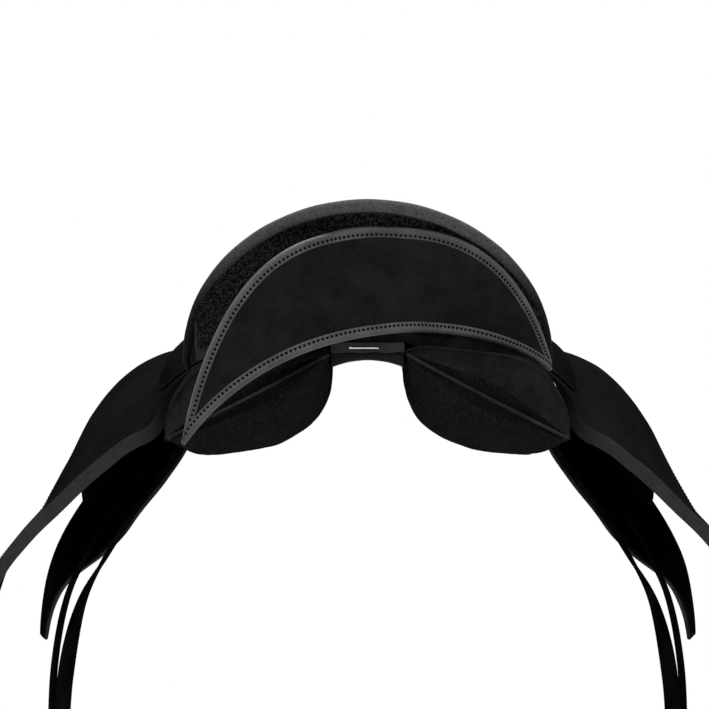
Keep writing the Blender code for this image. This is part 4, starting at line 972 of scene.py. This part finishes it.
def make_cantle_back():
    """The leather back of the cantle, drawn tight under the roll, and the loop pile on it."""
    across = steps(-FACING_REACH, FACING_REACH, 91)
    pile_across = steps(-PILE_REACH, PILE_REACH, 270)
    tops = {s: facing_top(s, -TUCK) for s in across + pile_across}

    def back(s, share, depth):
        return facing_point(s, mix(facing_low(s), tops[s], share), BACK_THICK * (depth - 1))

    mesh = padded_sheet("cantle_back", back, across, steps(0, 1, 18), bulge=0)
    # The cantle back's cloth carries painted light for the shaded band under the crescent.
    piece = place(mesh, BACK_CLOTH_PAINTED_LIGHT, "leather", "saddle", ("cantle_facing",))

    def pile(s, share, depth):
        z = mix(facing_low(s) + PILE_LOW, tops[s], share)
        point = facing_point(s, z, GAP)
        if not depth:
            return point
        curl = ruffle(point, 0.0026, 0.00045) + ruffle(point, 0.0011, 0.00035)
        return facing_point(s, z, GAP + LOOP_THICK - 0.0003 + curl)

    mesh = padded_sheet("loop_pile_pad", pile, pile_across, steps(0, 1, 76), bulge=0.0003)
    piece = place(mesh, PILE, "loop", "saddle", ("cantle_loop_pad",))


def closed_crescent(s, share, out=0.0):
    """A point of the crescent flap as it lies closed on the pad, out off its inner face."""
    return facing_point(s, mix(crescent_low(s), crescent_high(s), share), CRESCENT_IN + out)


def crescent_blend():
    """The line that the crescent flap bends about, as the two ends of its bend."""
    back = PEEL_ACROSS * PEEL_BEND
    return "saddle", "cantle_flap_body", PEEL_POINT + back, PEEL_POINT - back


BIND_RING = ((0.0074, 0.0029), (0.0066, 0.0034), (0.0056, 0.0034), (0.0049, 0.0034),
             (0.004, 0.0036), (0.003, 0.004), (0.0016, 0.0039), (0.0004, 0.0031),
             (-0.0006, 0.0018), (-0.0006, 0.0006), (0.0004, -0.0004), (0.002, -0.0008),
             (0.0045, -0.0008), (0.0072, -0.0004), (0.0076, 0.001))
STITCH_INSET = 0.0049
STITCH_STEPS = 4
STITCH_DOT = (0.0012, 0.00115, 0.0006)
STITCH_OUT = 0.0032
TIP_SHORT = 0.0035


def edge_place(s, upper, inset, out):
    """A point at an inset from the crescent's upper or lower edge, out off the pad."""
    edge = crescent_high if upper else crescent_low
    small = 0.0015
    slope = Vector((2 * small, edge(s + small) - edge(s - small))).normalized()
    away = Vector((slope.y, -slope.x)) * (1 if upper else -1)
    s_in, z_in = s + away.x * inset, edge(s) + away.y * inset
    middle = (crescent_high(s) + crescent_low(s)) / 2
    z_in = max(z_in, middle) if upper else min(z_in, middle)
    return peeled(facing_point(s_in, z_in, CRESCENT_IN + out))


def walk(at, start, end, step):
    """Shares from start to end at which the points of at lie a step apart."""
    shares = [start]
    small = 1e-4
    while shares[-1] < end - step:
        speed = (at(shares[-1] + small) - at(shares[-1])).length / small
        shares.append(shares[-1] + step / speed)
    return shares + [end]


def make_binding(edge, upper):
    """The binding folded over one edge of the crescent, and its row of sunken stitches."""
    rings, dots = [], bmesh.new()
    reach = FLAP_TIP_S - (0.0 if upper else 0.0012)
    shares = walk(lambda s: edge_place(s, upper, STITCH_INSET, 0), -reach, reach - TIP_SHORT,
                  PITCH / STITCH_STEPS)
    for i, s in enumerate(shares):
        near_tip = ease(FLAP_TIP_S - abs(s), 0.0, 0.012)
        swell = cos(2 * pi * i / STITCH_STEPS) * near_tip
        width = mix(0.45, 1.0, near_tip)
        ring = []
        for inset, out in BIND_RING:
            sewn = max(0.0, 1 - abs(inset - STITCH_INSET) / 0.0022) * (out > 0)
            pucker = 0.00026 * swell * sewn - 0.0001 * swell * (inset < 0.002)
            ring.append(edge_place(s, upper, inset * width, out + pucker - 0.0004 * sewn))
        rings.append(ring)
        if i % STITCH_STEPS == STITCH_STEPS // 2 and near_tip > 0.5:
            point = edge_place(s, upper, STITCH_INSET * width, STITCH_OUT)
            run = edge_place(s + 0.001, upper, STITCH_INSET * width, STITCH_OUT) - point
            across = run.cross(REARWARD).normalized()
            axes = (run.normalized(), across, across.cross(run).normalized())
            add_bead(dots, point, axes, STITCH_DOT, 2)
    strip = place(loft(f"crescent_{edge}_binding", rings), BINDING, "piping", crescent_blend(),
                  (f"cantle_flap_{edge}_binding", f"cantle_flap_root_{edge}_binding"), 70)
    row = place(as_mesh(dots, f"crescent_{edge}_stitches"), DARK_THREAD, "piping", crescent_blend())
    return [strip, row]


def make_crescent():
    """The crescent flap, its two bindings sewn round its edges, and the hook strip inside."""
    def leather(s, share, depth):
        point = closed_crescent(s, share)
        wave = ruffle(point, 0.045, 0.0009) + ruffle(point, 0.016, 0.0003)
        return peeled(closed_crescent(s, share, depth * CRESCENT_THICK + wave))

    across = steps(0.001 - FLAP_TIP_S, FLAP_TIP_S - TIP_SHORT - 0.001, 170)
    mesh = padded_sheet("crescent_flap", leather, across, steps(0.01, 0.99, 34), bulge=0)
    flap = place(mesh, CRESCENT_SUEDE, "suede", crescent_blend(), ("cantle_flap", "cantle_flap_root"))
    trims = make_binding("upper", True) + make_binding("lower", False)

    def hooks(s, share, depth):
        bristle = 0 if depth else ruffle(closed_crescent(s, share), 0.0013, 0.0005)
        return peeled(closed_crescent(s, share, HOOK_THICK * (depth - 1) - GAP + bristle))

    mesh = padded_sheet("hook_strip", hooks, steps(-FLAP_TIP_S * 0.86, -0.04, 130),
                        steps(0.16, 0.86, 60), bulge=0)
    piece = place(mesh, PILE, "loop", "cantle_flap_body", ("cantle_hook_strip",))


LINING = [(0, -0.206, 0.081), (0, -0.13, 0.0805), (0, -0.05, 0.08), (0, 0.02, 0.0805),
          (0, 0.07, 0.0865), (0, 0.12, 0.0955), (0, 0.178, 0.1)]
LINING_CLEAR = 0.0008
LINING_THICK = 0.002
LINING_HEM = 0.0054
LINING_HEM_Y = -0.165
LINING_HEM_RUN = 0.041
LINING_ARCH = 0.006
BRIDGE_HALF = 0.0295
BRIDGE_REAR_Y = -0.2125
BRIDGE_THICK = 0.003
BRIDGE_LOW_Z = 0.0868
BRIDGE_HEIGHT = 0.0078


def make_gullet():
    """The channel's lining, and the bridge strip over its rear end with its stitch row."""
    def lining(share, r, depth):
        middle = through(LINING, share)
        half = panel_section(PANEL_LOWER, middle.y, 0).x - LINING_CLEAR
        drop = LINING_ARCH * r * r
        hem = min(max((LINING_HEM_Y - middle.y) / LINING_HEM_RUN, 0.0), 1.0)
        crease = ruffle(Vector((r * half, middle.y, 0)), 0.02, 0.0006) * (1 - r * r)
        lift = mix(LINING_THICK - drop, LINING_HEM, hem) if depth else crease - drop
        return middle + Vector((half * r, 0, lift))

    mesh = padded_sheet("channel_lining", lining, steps(0, 1, 90), steps(-1, 1, 25), bulge=0.0004)
    piece = place(mesh, LINING_LEATHER, "leather", "saddle", ("gullet_lining",))

    def bridge(a, b, depth):
        sag = 0.0004 * sin(a * 9) * (1 - b)
        return Vector((a * BRIDGE_HALF, BRIDGE_REAR_Y + BRIDGE_THICK * (1 - depth),
                       BRIDGE_LOW_Z + b * BRIDGE_HEIGHT + sag))

    mesh = padded_sheet("bridge_strip", bridge, steps(-1, 1, 50), steps(0, 1, 8), bulge=0.0003)
    place(mesh, BRIDGE, "leather", "saddle", ("panel_bridge",))
    reach = BRIDGE_HALF - 2 * MM
    path = [Vector((x, BRIDGE_REAR_Y - 0.0002, BRIDGE_LOW_Z + BRIDGE_HEIGHT - 0.3 * MM))
            for x in steps(-reach, reach, 40)]
    stitches("bridge_stitches", path, REARWARD, GREY_THREAD, "saddle", "leather",
             0.0018, 0.0006, 0.0032)


def panel_relief(point, y, share, upper):
    """Height of gathers and softness over a panel's smooth form."""
    behind = y - PANEL_REAR_Y
    soft = ruffle(point, 0.04, 0.0018) + ruffle(point, 0.015, 0.0006)
    along = share if upper else 1 - share
    if upper:
        folds = sin(along * 62 + 1.7 * sin(along * 21)) * 0.5 + sin(along * 41 + 1.0) * 0.3
        gather = 0.00035 * folds * (1 - ease(behind, 0.0, 0.03))
    else:
        folds = sin(along * 66 + 2.1 * sin(along * 17)) * 0.6 + sin(along * 43) * 0.4
        gather = 0.0004 * folds * (1 - ease(behind, 0.0, 0.04)) * ease(along, 0.1, 0.45)
    fade = ease(behind, 0.0, 0.012) * ease(PANEL_FRONT_Y - y, 0.0, 0.02)
    return soft * fade + gather * ease(behind, 0.0005, 0.008)


def panel_skin(name, side):
    """A panel's closed cushion: gathered under and over its diagonal seam, softly uneven."""
    shares = steps(0, 1, 76)
    ys = [PANEL_REAR_Y + 0.085 * share ** 1.7 for share in steps(0.05, 1, 26)]
    ys += steps(-0.137, 0.15, 52)
    ys += [PANEL_FRONT_Y - 0.045 * share ** 1.7 for share in steps(1, 0.1, 12)]
    spots = [(share, False) for share in shares] + [(share, True) for share in shares[1:-1]]
    mesh = loft(name, [[panel_point(y, share, upper, side) for share, upper in spots]
                       for y in ys])
    normals = [vert.normal.copy() for vert in mesh.vertices]
    for i, vert in enumerate(mesh.vertices):
        share, upper = spots[i % len(spots)]
        height = panel_relief(vert.co, ys[i // len(spots)], share, upper)
        vert.co += normals[i] * height
    above = [i % len(spots) >= len(shares) - 1 for i in range((len(ys) - 1) * len(spots))]
    for face, gusset in zip(mesh.polygons, above):
        face.material_index = 1 if gusset else 0
    return mesh


def make_panels():
    """The two stuffed panels, the piped diagonal seam of each and the welt along its top."""
    for name, side in SIDES.items():
        mesh = panel_skin(f"panel_cushion_{name}", side)
        piece = place(mesh, (PANEL_CLOTH, GUSSET), "suede", "saddle", (f"panel_{name}",), 60)
        seam = []
        for share in steps(0.02, 0.985, 150):
            x, z = seam_line(share)
            seam.append(Vector((x * side, PANEL_REAR_Y + sweep(x) - 1.2 * MM, z)))
        mesh = roll(f"panel_piping_{name}", seam,
                    lambda share, angle: 0.0013 + 0.00012 * sin(share * 210), 10, REARWARD)
        place(mesh, PIPING, "piping", "saddle", (f"panel_seam_{name}",))
        for row, drop in (("lower", -3.6 * MM), ("upper", 3.2 * MM)):
            path = [point + Vector((0, 0.0012, drop)) for point in seam]
            stitches(f"panel_stitches_{row}_{name}", path, REARWARD, DARK_THREAD, "saddle",
                     "suede", 0.0019, 0.0003, 0.0033)
        make_top_welt(name, side)


TICK_PITCH = 2.4 * MM
TICK_SIZE = (0.0016, 0.0014, 0.0004)


def make_top_welt(name, side):
    """The welt along a panel's top edge, whipped to the saddle with coarse thread."""
    top = [panel_point(PANEL_REAR_Y + 0.016, share, True, side) + UPWARD * 0.0004
           for share in steps(1, 0.22, 120)]
    mesh = roll(f"panel_top_welt_{name}", top,
                lambda share, angle: 0.0014 + 0.0004 * abs(sin(share * 120)), 10)
    place(mesh, GUSSET, "suede", "saddle")
    ticks = bmesh.new()
    for point, run in evenly(top[4:84], TICK_PITCH):
        add_bead(ticks, point + Vector((0, -0.0006, 0.0004)),
                 (UPWARD.cross(run).normalized(), UPWARD, run), TICK_SIZE, 2)
    place(as_mesh(ticks, f"panel_top_whipping_{name}"), GREY_THREAD, "suede", "saddle")


def flap_sides(t):
    """The flap's rear and front edge in y at a share t down it."""
    if t >= FLAP_FOLD:
        return flap_rear(t), flap_front(t)
    share = ease(t, 0.2, FLAP_FOLD)
    return mix(-0.09, flap_rear(FLAP_FOLD), share), mix(0.205, flap_front(FLAP_FOLD), share)


def flap_point(t, v, lift, side):
    """A point of the flap at a share t down it and v across it from the rear edge."""
    y = mix(*flap_sides(t), v)
    if t < FLAP_FOLD:
        t = mix(flap_start(y), FLAP_FOLD, (t - 0.005) / (FLAP_FOLD - 0.005))
    return drape(FLAP, t, y, lift, side)


def skirt_point(t, v, lift, side):
    """A point of the small flap over the stirrup bar."""
    at_root = t < SKIRT_FOLD
    y = mix(*(SKIRT_ROOT_Y if at_root else (skirt_rear(t), skirt_front(t))), v)
    if at_root:
        t = mix(flap_start(y), SKIRT_FOLD, (t - 0.005) / (SKIRT_FOLD - 0.005))
    return drape(FLAP, t, y, skirt_lift(t, y) + lift, side)


def rounded_rows(start, end, round_from, straight, curved):
    """Shares down a flap: even at first, then closing up where its end is rounded."""
    rows = steps(start, round_from, straight)
    return rows + [mix(round_from, end, sin(radians(turn))) for turn in steps(0, 90, curved)[1:]]


def edge_row(name, at, rows, inset, side, finish, body, slot):
    """A row of stitches round the free edge of a flap: down its rear, round its end and up."""
    inner = []
    for t, v in [(t, 0) for t in rows] + [(t, 1) for t in reversed(rows)]:
        edge, heart = at(t, v), at(min(t, rows[-1] - inset / 0.45), 0.5)
        inner.append(edge + (heart - edge).normalized() * inset)
    return stitches(name, inner, Vector((side * 0.8, 0, 0.6)), finish, body, slot)


def make_flaps():
    """Flaps, skirts and sweat flaps, each one sheet of leather from the seat to its end."""
    for name, side in SIDES.items():
        make_flap(name, side)
        make_skirt(name, side)
        make_sweat_flap(name, side)
        make_knee_pad(name, side)


def fold_blend(t, lift, name, side, reach):
    """A blend over the fold line of a flap or skirt at a share t, its bend reach wide."""
    ends = [drape(FLAP, t + turn * reach, FOLD_Y, lift, side) for turn in (-1, 1)]
    return "saddle", name, *ends


FLAP_REAR_THICK = 0.0122
FLAP_FRONT_THICK = 0.0045
FLAP_LINING = 0.009
FLAP_BEND = 0.035
FLAP_SEWN_FROM = 50
SKIRT_BEND = 0.012
SKIRT_SEWN_FROM = 16
UNDER_SEWN_FROM = 6
FOLD_Y = 0.08


def flap_depth(t, v):
    """Thickness of the padded flap: fullest along its rear edge and thin towards its front."""
    end = mix(FLAP_REAR_THICK, FLAP_FRONT_THICK, ease(v, 0.02, 0.55))
    return mix(LEATHER, end, ease(t, *FLAP_THICKENS))


def flap_lining(t, v):
    """How far the padding stands in from the flap's inner face, at the top of its rear edge."""
    return FLAP_LINING * ease(t, 0.1, 0.22) * (1 - ease(t, 0.34, 0.46)) * (1 - ease(v, 0.02, 0.22))


def make_flap(name, side):
    """One flap: a suede face, thicker and layered towards its free edge."""
    rows = steps(0.005, FLAP_FOLD, 46)[:-1] + rounded_rows(FLAP_FOLD, 1.0, 0.72, 40, 34)

    def at(t, v, depth):
        base = flap_point(t, v, 0.0, side)
        soft = ruffle(base, 0.06, 0.0012) + ruffle(base, 0.022, 0.0004)
        out = flap_depth(t, v) + soft * ease(t, 0.1, 0.3)
        return flap_point(t, v, mix(-flap_lining(t, v), out, depth), side)

    mesh = padded_sheet(f"flap_leather_{name}", at, rows, steps(0, 1, 60), LAYERS, 0.0006, 1)
    body = fold_blend(FLAP_FOLD, 0.004, f"flap_{name}_body", side, FLAP_BEND)
    piece = place(mesh, (SUEDE, EDGE), "suede", body, (f"flap_root_{name}", f"flap_{name}"))
    row = edge_row(f"flap_stitches_{name}",
                   lambda t, v: flap_point(t, v, flap_depth(t, v) + 0.0001, side),
                   rows[FLAP_SEWN_FROM:], 0.0075, side, DARK_THREAD, body, "suede")


def make_skirt(name, side):
    """One skirt, arched over the stirrup bar."""
    rows = steps(0.006, SKIRT_FOLD, 14)[:-1] + rounded_rows(SKIRT_FOLD, SKIRT_END, SKIRT_ROUND,
                                                            26, 26)

    def at(t, v, depth):
        base = skirt_point(t, v, 0.0, side)
        soft = ruffle(base, 0.035, 0.0008) * ease(t, 0.05, 0.12) * ease(v, 0.0, 0.2)
        skived = mix(0.35, 1.0, ease(v, 0.0, 0.25) * ease(SKIRT_END - t, 0.0, 0.03))
        return skirt_point(t, v, depth * LEATHER * skived + soft, side)

    mesh = padded_sheet(f"skirt_leather_{name}", at, rows, steps(0, 1, 90), bulge=0.0007)
    body = fold_blend(SKIRT_FOLD, 0.024, f"skirt_{name}_body", side, SKIRT_BEND)
    piece = place(mesh, SUEDE, "suede", body, (f"skirt_root_{name}", f"skirt_{name}"))
    row = edge_row(f"skirt_stitches_{name}", lambda t, v: skirt_point(t, v, LEATHER + 0.0001, side),
                   rows[SKIRT_SEWN_FROM:], 0.006, side, DARK_THREAD, body, "suede")


def under_point(t, v, lift, side):
    """A point of the sweat flap."""
    return drape(UNDER, t, mix(under_rear(t), under_front(t), v), lift, side)


def make_sweat_flap(name, side):
    """One sweat flap of smooth leather with a rolled rim."""
    rows = rounded_rows(0.02, UNDER_END, 0.66, 60, 40)

    def at(t, v, depth):
        soft = ruffle(under_point(t, v, 0.0, side), 0.05, 0.0008) * ease(t, 0.0, 0.2)
        return under_point(t, v, depth * LEATHER + soft, side)

    mesh = padded_sheet(f"sweat_flap_leather_{name}", at, rows, steps(0, 1, 54), bulge=0.001,
                        edge_slot=1)
    piece = place(mesh, (SMOOTH, PIPING), "leather", "saddle", (f"sweat_flap_{name}",))
    row = edge_row(f"sweat_flap_stitches_{name}",
                   lambda t, v: under_point(t, v, LEATHER + 0.0001, side),
                   rows[UNDER_SEWN_FROM:], 0.006, side, GREY_THREAD, "saddle", "leather")


KNEE_HEIGHT = 0.021
KNEE_T = (0.24, 0.6)
KNEE_Y = 0.16
KNEE_HALF = 0.022
LAYER_GAP = 0.0014


def make_knee_pad(name, side):
    """One knee pad: a stuffed block, held to the sweat flap under the flap."""
    def at(along, across, depth):
        t = mix(*KNEE_T, (along + 1) / 2)
        middle = KNEE_Y + 0.012 * (1 - along * along)
        half = KNEE_HALF * sqrt(1.02 - along ** 4)
        crown = (1 - across ** 4) * (1 - along ** 6)
        rise = mix(0.003, KNEE_HEIGHT, crown) if depth else 0.0
        rise += ruffle(Vector((along, across, side)), 0.4, 0.0006) * crown if depth else 0.0
        return drape(UNDER, t, middle + half * across, LEATHER + LAYER_GAP + rise, side)

    mesh = padded_sheet(f"knee_pad_{name}", at, steps(-1, 1, 70), steps(-1, 1, 34), bulge=0.0006)
    piece = place(mesh, SUEDE, "foam", "saddle", (f"knee_block_{name}",), 60)


WEB_THICK = 0.001
WEB_LAYER = WEB_THICK + LAYER_GAP / 2
WEB_CLEAR = 0.0016
WEB_TURN = 0.952
WEB_TOP_R = (0.34, 0.5, 0.66, 0.8, 0.9)
WEB_RAIL_DROPS = (0.0105, 0.021)
WEB_SIDE_T = (0.012, 0.045, 0.08, 0.115, 0.145, STRAP_T[0] - 0.012)


SECTION = [(-1.0, 0.0), (-0.985, 0.6), (-0.93, 1.0)] + [(a, 1.0) for a in steps(-0.85, 0.85, 9)] + [
    (0.93, 1.0), (0.985, 0.6), (1.0, 0.0), (0.985, -0.6), (0.93, -1.0)] + [
    (a, -1.0) for a in steps(0.85, -0.85, 9)] + [(-0.93, -1.0), (-0.985, -0.6)]


def make_strap(row, name, side):
    """One girth strap: a leather band with rounded edges and punched holes."""
    lift = LEATHER + STRAP_CLEAR + STRAP_THICK / 2
    line = [drape(UNDER, t, STRAPS[row], lift, side) for t in steps(*STRAP_T, 90)]
    rings = []
    for i, point in enumerate(line):
        out = run_at(line, i).cross(REARWARD).normalized() * -side
        end = 1 - 0.3 * ease(i, len(line) - 7, len(line) - 1)
        twist = STRAP_TWISTS[row] * ease(i, len(line) * 0.55, len(line) * 0.85)
        across = Vector((sin(twist) * side, cos(twist), 0)) * STRAP_WIDTH / 2 * end
        rings.append([point + across * a + out * b * STRAP_THICK / 2 for a, b in SECTION])
    node = f"girth_strap_{row}_{name}"
    piece = place(loft(f"strap_leather_{row}_{name}", rings), STRAP, "leather", f"{node}_body", (node,))
    punch_holes(piece, STRAPS[row], side)


def punch_holes(piece, y, side):
    """Cut a strap's row of buckle holes."""
    holes = bmesh.new()
    for t in steps(*HOLES_T, STRAP_HOLES):
        foot = drape(UNDER, t, y, 0, side)
        away = drape(UNDER, t, y, 0.02, side) - foot
        turn = away.to_track_quat("Z", "Y").to_matrix().to_4x4()
        bmesh.ops.create_cone(holes, cap_ends=True, segments=20, radius1=HOLE_RADIUS,
                              radius2=HOLE_RADIUS, depth=0.016,
                              matrix=Matrix.Translation(foot + away * 0.5) @ turn)
    punch = add_object("hole_punch", as_mesh(holes, "hole_punch"))
    cut = piece.modifiers.new("holes", "BOOLEAN")
    cut.operation = "DIFFERENCE"
    cut.solver = "EXACT"
    cut.object = punch
    shape = bpy.data.meshes.new_from_object(piece.evaluated_get(bpy.context.evaluated_depsgraph_get()))
    piece.modifiers.clear()
    piece.data = shape
    bpy.data.objects.remove(punch)


def web_v(y, r):
    """The seat's v at a place along and across it."""
    low, high = 0.0, 1.0
    for _ in range(24):
        middle = (low + high) / 2
        if seat_point(middle, r).y < y:
            low = middle
        else:
            high = middle
    return low


def web_route(y):
    """The inner face of a girth web at one y: over the tree, round its rail, to the strap."""
    route = []
    for r in WEB_TOP_R:
        v = web_v(y, r)
        point = seat_point(v, r, foam_depth(v, r) + WEB_LAYER)
        route.append(Vector((point.x, y, point.z)))
    rail = seat_point(web_v(y, WEB_TURN), WEB_TURN)
    for drop in WEB_RAIL_DROPS:
        route.append(Vector((rail.x, y, rail.z - drop)))
    for t in WEB_SIDE_T:
        point = drape(UNDER, t, y, LEATHER + WEB_CLEAR)
        route.append(Vector((max(point.x, rail.x + 0.002 + 0.01 * t), y, point.z)))
    return route


def make_web(row, name, side):
    """One girth web: woven tape from the tree's top round its rail to the strap."""
    ys = [STRAPS[row] + STRAP_WIDTH / 2 * a for a in steps(-1, 1, 9)]
    routes = {y: web_route(y) for y in ys}

    def at(share, y, depth):
        along = share * (len(routes[y]) - 1)
        low = min(int(along), len(routes[y]) - 2)
        start, end = routes[y][low:low + 2]
        point = start.lerp(end, along - low)
        run = end - start
        normal = facing_out(run.cross(REARWARD).normalized())
        return mirrored(point + normal * WEB_THICK * depth, side)

    mesh = padded_sheet(f"web_cloth_{row}_{name}", at, steps(0, 1, 49), ys, bulge=0.0002)
    piece = place(mesh, GIRTH_WEB, "webbing", "saddle", (f"girth_web_{row}_{name}",))


def make_straps():
    """Girth straps and webs, the web across the tree and the leather chapes of the dees."""
    for row in STRAPS:
        for name, side in SIDES.items():
            make_strap(row, name, side)
            make_web(row, name, side)

    def strained(v, r, depth):
        top = foam_depth(v, r) + GAP + WEB_LAYER
        return seat_point(v, r, mix(foam_depth(v, r) + 2 * WEB_LAYER, top, depth))

    mesh = padded_sheet("tree_web_cloth", strained, steps(0.27, 0.625, 60), steps(-0.45, 0.45, 30),
                        bulge=0.0002)
    piece = place(mesh, TREE_WEB, "webbing", "saddle", ("tree_webbing",))
    make_chapes()


DEE_Y = 0.182
DEE_T = 0.075
DEE_LIFT = 0.0082
DEE_WIRE = 0.002
CHAPE_WIDTH = 0.014
CHAPE_THICK = 0.0012


def make_chapes():
    """The folded leather tab that holds each dee to the flap."""
    centre = drape(FLAP, DEE_T, DEE_Y, DEE_LIFT)
    down = drape(FLAP, DEE_T + 0.05, DEE_Y, DEE_LIFT) - centre
    along = Vector((0, 1, 0))
    down = (down - along * down.dot(along)).normalized()
    up = along.cross(down)
    up = up if up.z > 0 else -up
    eye = DEE_WIRE + 0.0004 + CHAPE_THICK / 2
    fold = [centre + (down * cos(turn) + up * sin(turn)) * eye
            for turn in steps(radians(200), radians(-62), 40)]
    tail = drape(FLAP, 0.012, DEE_Y, LEATHER + GAP + CHAPE_THICK)
    knee = centre - down * (eye + 0.006) + up * -0.0022
    tail, knee = Vector((tail.x, DEE_Y, tail.z)), Vector((knee.x, DEE_Y, knee.z))
    line = [tail.lerp(knee, share) for share in steps(0, 0.95, 14)] + fold

    for name, side in SIDES.items():
        rings = []
        for i, point in enumerate(line):
            normal = run_at(line, i).cross(along).normalized()
            rings.append([mirrored(point + along * a * CHAPE_WIDTH / 2
                                   + normal * b * CHAPE_THICK / 2, side) for a, b in SECTION])
        piece = place(loft(f"dee_chape_leather_{name}", rings), STRAP, "leather", "saddle",
                      (f"dee_chape_{name}",))


POMMEL_REACH = 0.15
POMMEL_DROP = 0.02


def make_pommel():
    """The closed leather front of the pommel, drawn over the head plate."""
    def front(r, share, depth):
        way = 1.0 if r > 0 else -1.0
        v = 1 - POMMEL_REACH * abs(r)
        edge = seat_point(v, way)
        run = seat_point(v - 0.01, way) - edge
        inward = Vector((-run.y, run.x, 0)).normalized()
        inward = inward if inward.y < 0 or inward.x * r < 0 else -inward
        high = edge.z - COVER_LIP - 4 * GAP
        spot = edge + inward * mix(0.003, 0.001, depth)
        crease = ruffle(spot, 0.012, 0.0002)
        return Vector((spot.x, spot.y + crease, mix(high, high - POMMEL_DROP, share)))

    mesh = padded_sheet("pommel_front", front, steps(-1, 1, 60), steps(0, 1, 12), bulge=0.0003)
    piece = place(mesh, SMOOTH, "leather", "saddle", ("pommel_facing",))


CAMERA_SPOT = (0, -1.74, 0.085)
CAMERA_LENS = 95.8
CAMERA_SHIFT = -0.0186
LIT_MIDDLE = Vector((0, 0, 0.05))
WORLD_FILL = 0.38
FLOOR_Z = -0.62
FLOOR_WHITE = 0.88
FLOOR_FADES = (1.0, 1.9)


def soft_lamp(name, spot, size, watts):
    """A large square lamp that lights the saddle softly."""
    data = bpy.data.lights.new(name, "AREA")
    data.shape = "SQUARE"
    data.size = size
    data.energy = watts
    lamp = add_object(name, data)
    lamp.location = spot
    lamp.rotation_euler = (LIT_MIDDLE - lamp.location).to_track_quat("-Z", "Y").to_euler()


def show_one(tree, end, share, first, second):
    """Mix two shaders by a share and show them at a tree's end."""
    choose = tree.nodes.new("ShaderNodeMixShader")
    for i, socket in enumerate((share, first.outputs[0], second.outputs[0])):
        tree.links.new(socket, choose.inputs[i])
    tree.links.new(choose.outputs[0], tree.nodes[end].inputs["Surface"])


def make_floor():
    """A pale floor that keeps the saddle's shadow and shows white behind it."""
    bm = bmesh.new()
    for a, b in ((0, 0), (1, 0), (1, 1), (0, 1)):
        bm.verts.new(((a - 0.5) * 24, (b - 0.5) * 24, FLOOR_Z))
    bm.faces.new(bm.verts)
    floor = add_object("studio_floor", as_mesh(bm, "studio_floor"))
    made = Finish("studio_floor", roughness=0.9, specular_ior_level=0)
    grain = made.noise(0.4, 2.0)
    made.feed(base_color=made.shade(grain, (0.8, 0.8, 0.8), (0.84, 0.84, 0.84)))
    lit = made.tree.nodes.new("ShaderNodeEmission")
    path = made.tree.nodes.new("ShaderNodeLightPath")
    far = made.add("ShaderNodeVectorMath", {"operation": "LENGTH"}, made.place, output=1)
    white = far.rise(*FLOOR_FADES) * (1 - FLOOR_WHITE) + FLOOR_WHITE
    shown = Value(made, path.outputs["Is Camera Ray"]) * white
    show_one(made.tree, "Material Output", shown.socket, made.shader, lit)
    floor.data.materials.append(made.material)


def make_world():
    """White behind the saddle and in its reflections, and a plain dim fill on it."""
    world = bpy.data.worlds.new("studio")
    world.use_nodes = True
    bpy.context.scene.world = world
    tree = world.node_tree
    sky = tree.nodes["Background"]
    fill = tree.nodes.new("ShaderNodeBackground")
    for light in (sky, fill):
        light.inputs["Color"].default_value = (1, 1, 1, 1)
    fill.inputs["Strength"].default_value = WORLD_FILL
    path = tree.nodes.new("ShaderNodeLightPath")
    total = path.outputs["Is Camera Ray"]
    for other in ("Is Glossy Ray", "Is Transmission Ray"):
        either = tree.nodes.new("ShaderNodeMath")
        either.operation = "MAXIMUM"
        tree.links.new(total, either.inputs[0])
        tree.links.new(path.outputs[other], either.inputs[1])
        total = either.outputs[0]
    show_one(tree, "World Output", total, fill, sky)


def make_studio():
    """Floor, lamps, world and the camera that stands where the photograph's did."""
    make_floor()
    make_world()
    soft_lamp("key", (-1.1, -1.9, 1.5), 1.6, 17)
    soft_lamp("top", (0.1, 0.45, 2.0), 1.6, 52)
    soft_lamp("side", (1.9, -0.9, 0.9), 1.4, 6)
    data = bpy.data.cameras.new("photo_camera")
    data.lens = CAMERA_LENS
    data.shift_x = CAMERA_SHIFT
    camera = add_object("photo_camera", data)
    camera.location = CAMERA_SPOT
    camera.rotation_euler = (radians(90), 0, 0)
    bpy.context.scene.camera = camera
    bpy.context.scene.view_settings.view_transform = "Standard"


METAL_NODES = ["head_plate"] + [f"{name}_{side}" for side in SIDES for name in (
    "head_plate_screw", "stirrup_bar", "bar_rivet_rear", "bar_rivet_front",
    "stirrup_bar_catch", "dee", "saddle_nail")]


def finish_nodes():
    """Better finishes for the rigid nodes whose own shapes show."""
    finishes = {name: STEEL for name in METAL_NODES}
    finishes["crupper_staple"] = STAPLE
    finishes["tree"] = POLYMER
    for name, finish in finishes.items():
        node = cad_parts[name]
        node.data.materials.clear()
        node.data.materials.append(finish)


make_seat()
make_cantle_roll()
make_cantle_back()
make_crescent()
make_gullet()
make_panels()
make_flaps()
make_straps()
make_pommel()
finish_nodes()
make_studio()
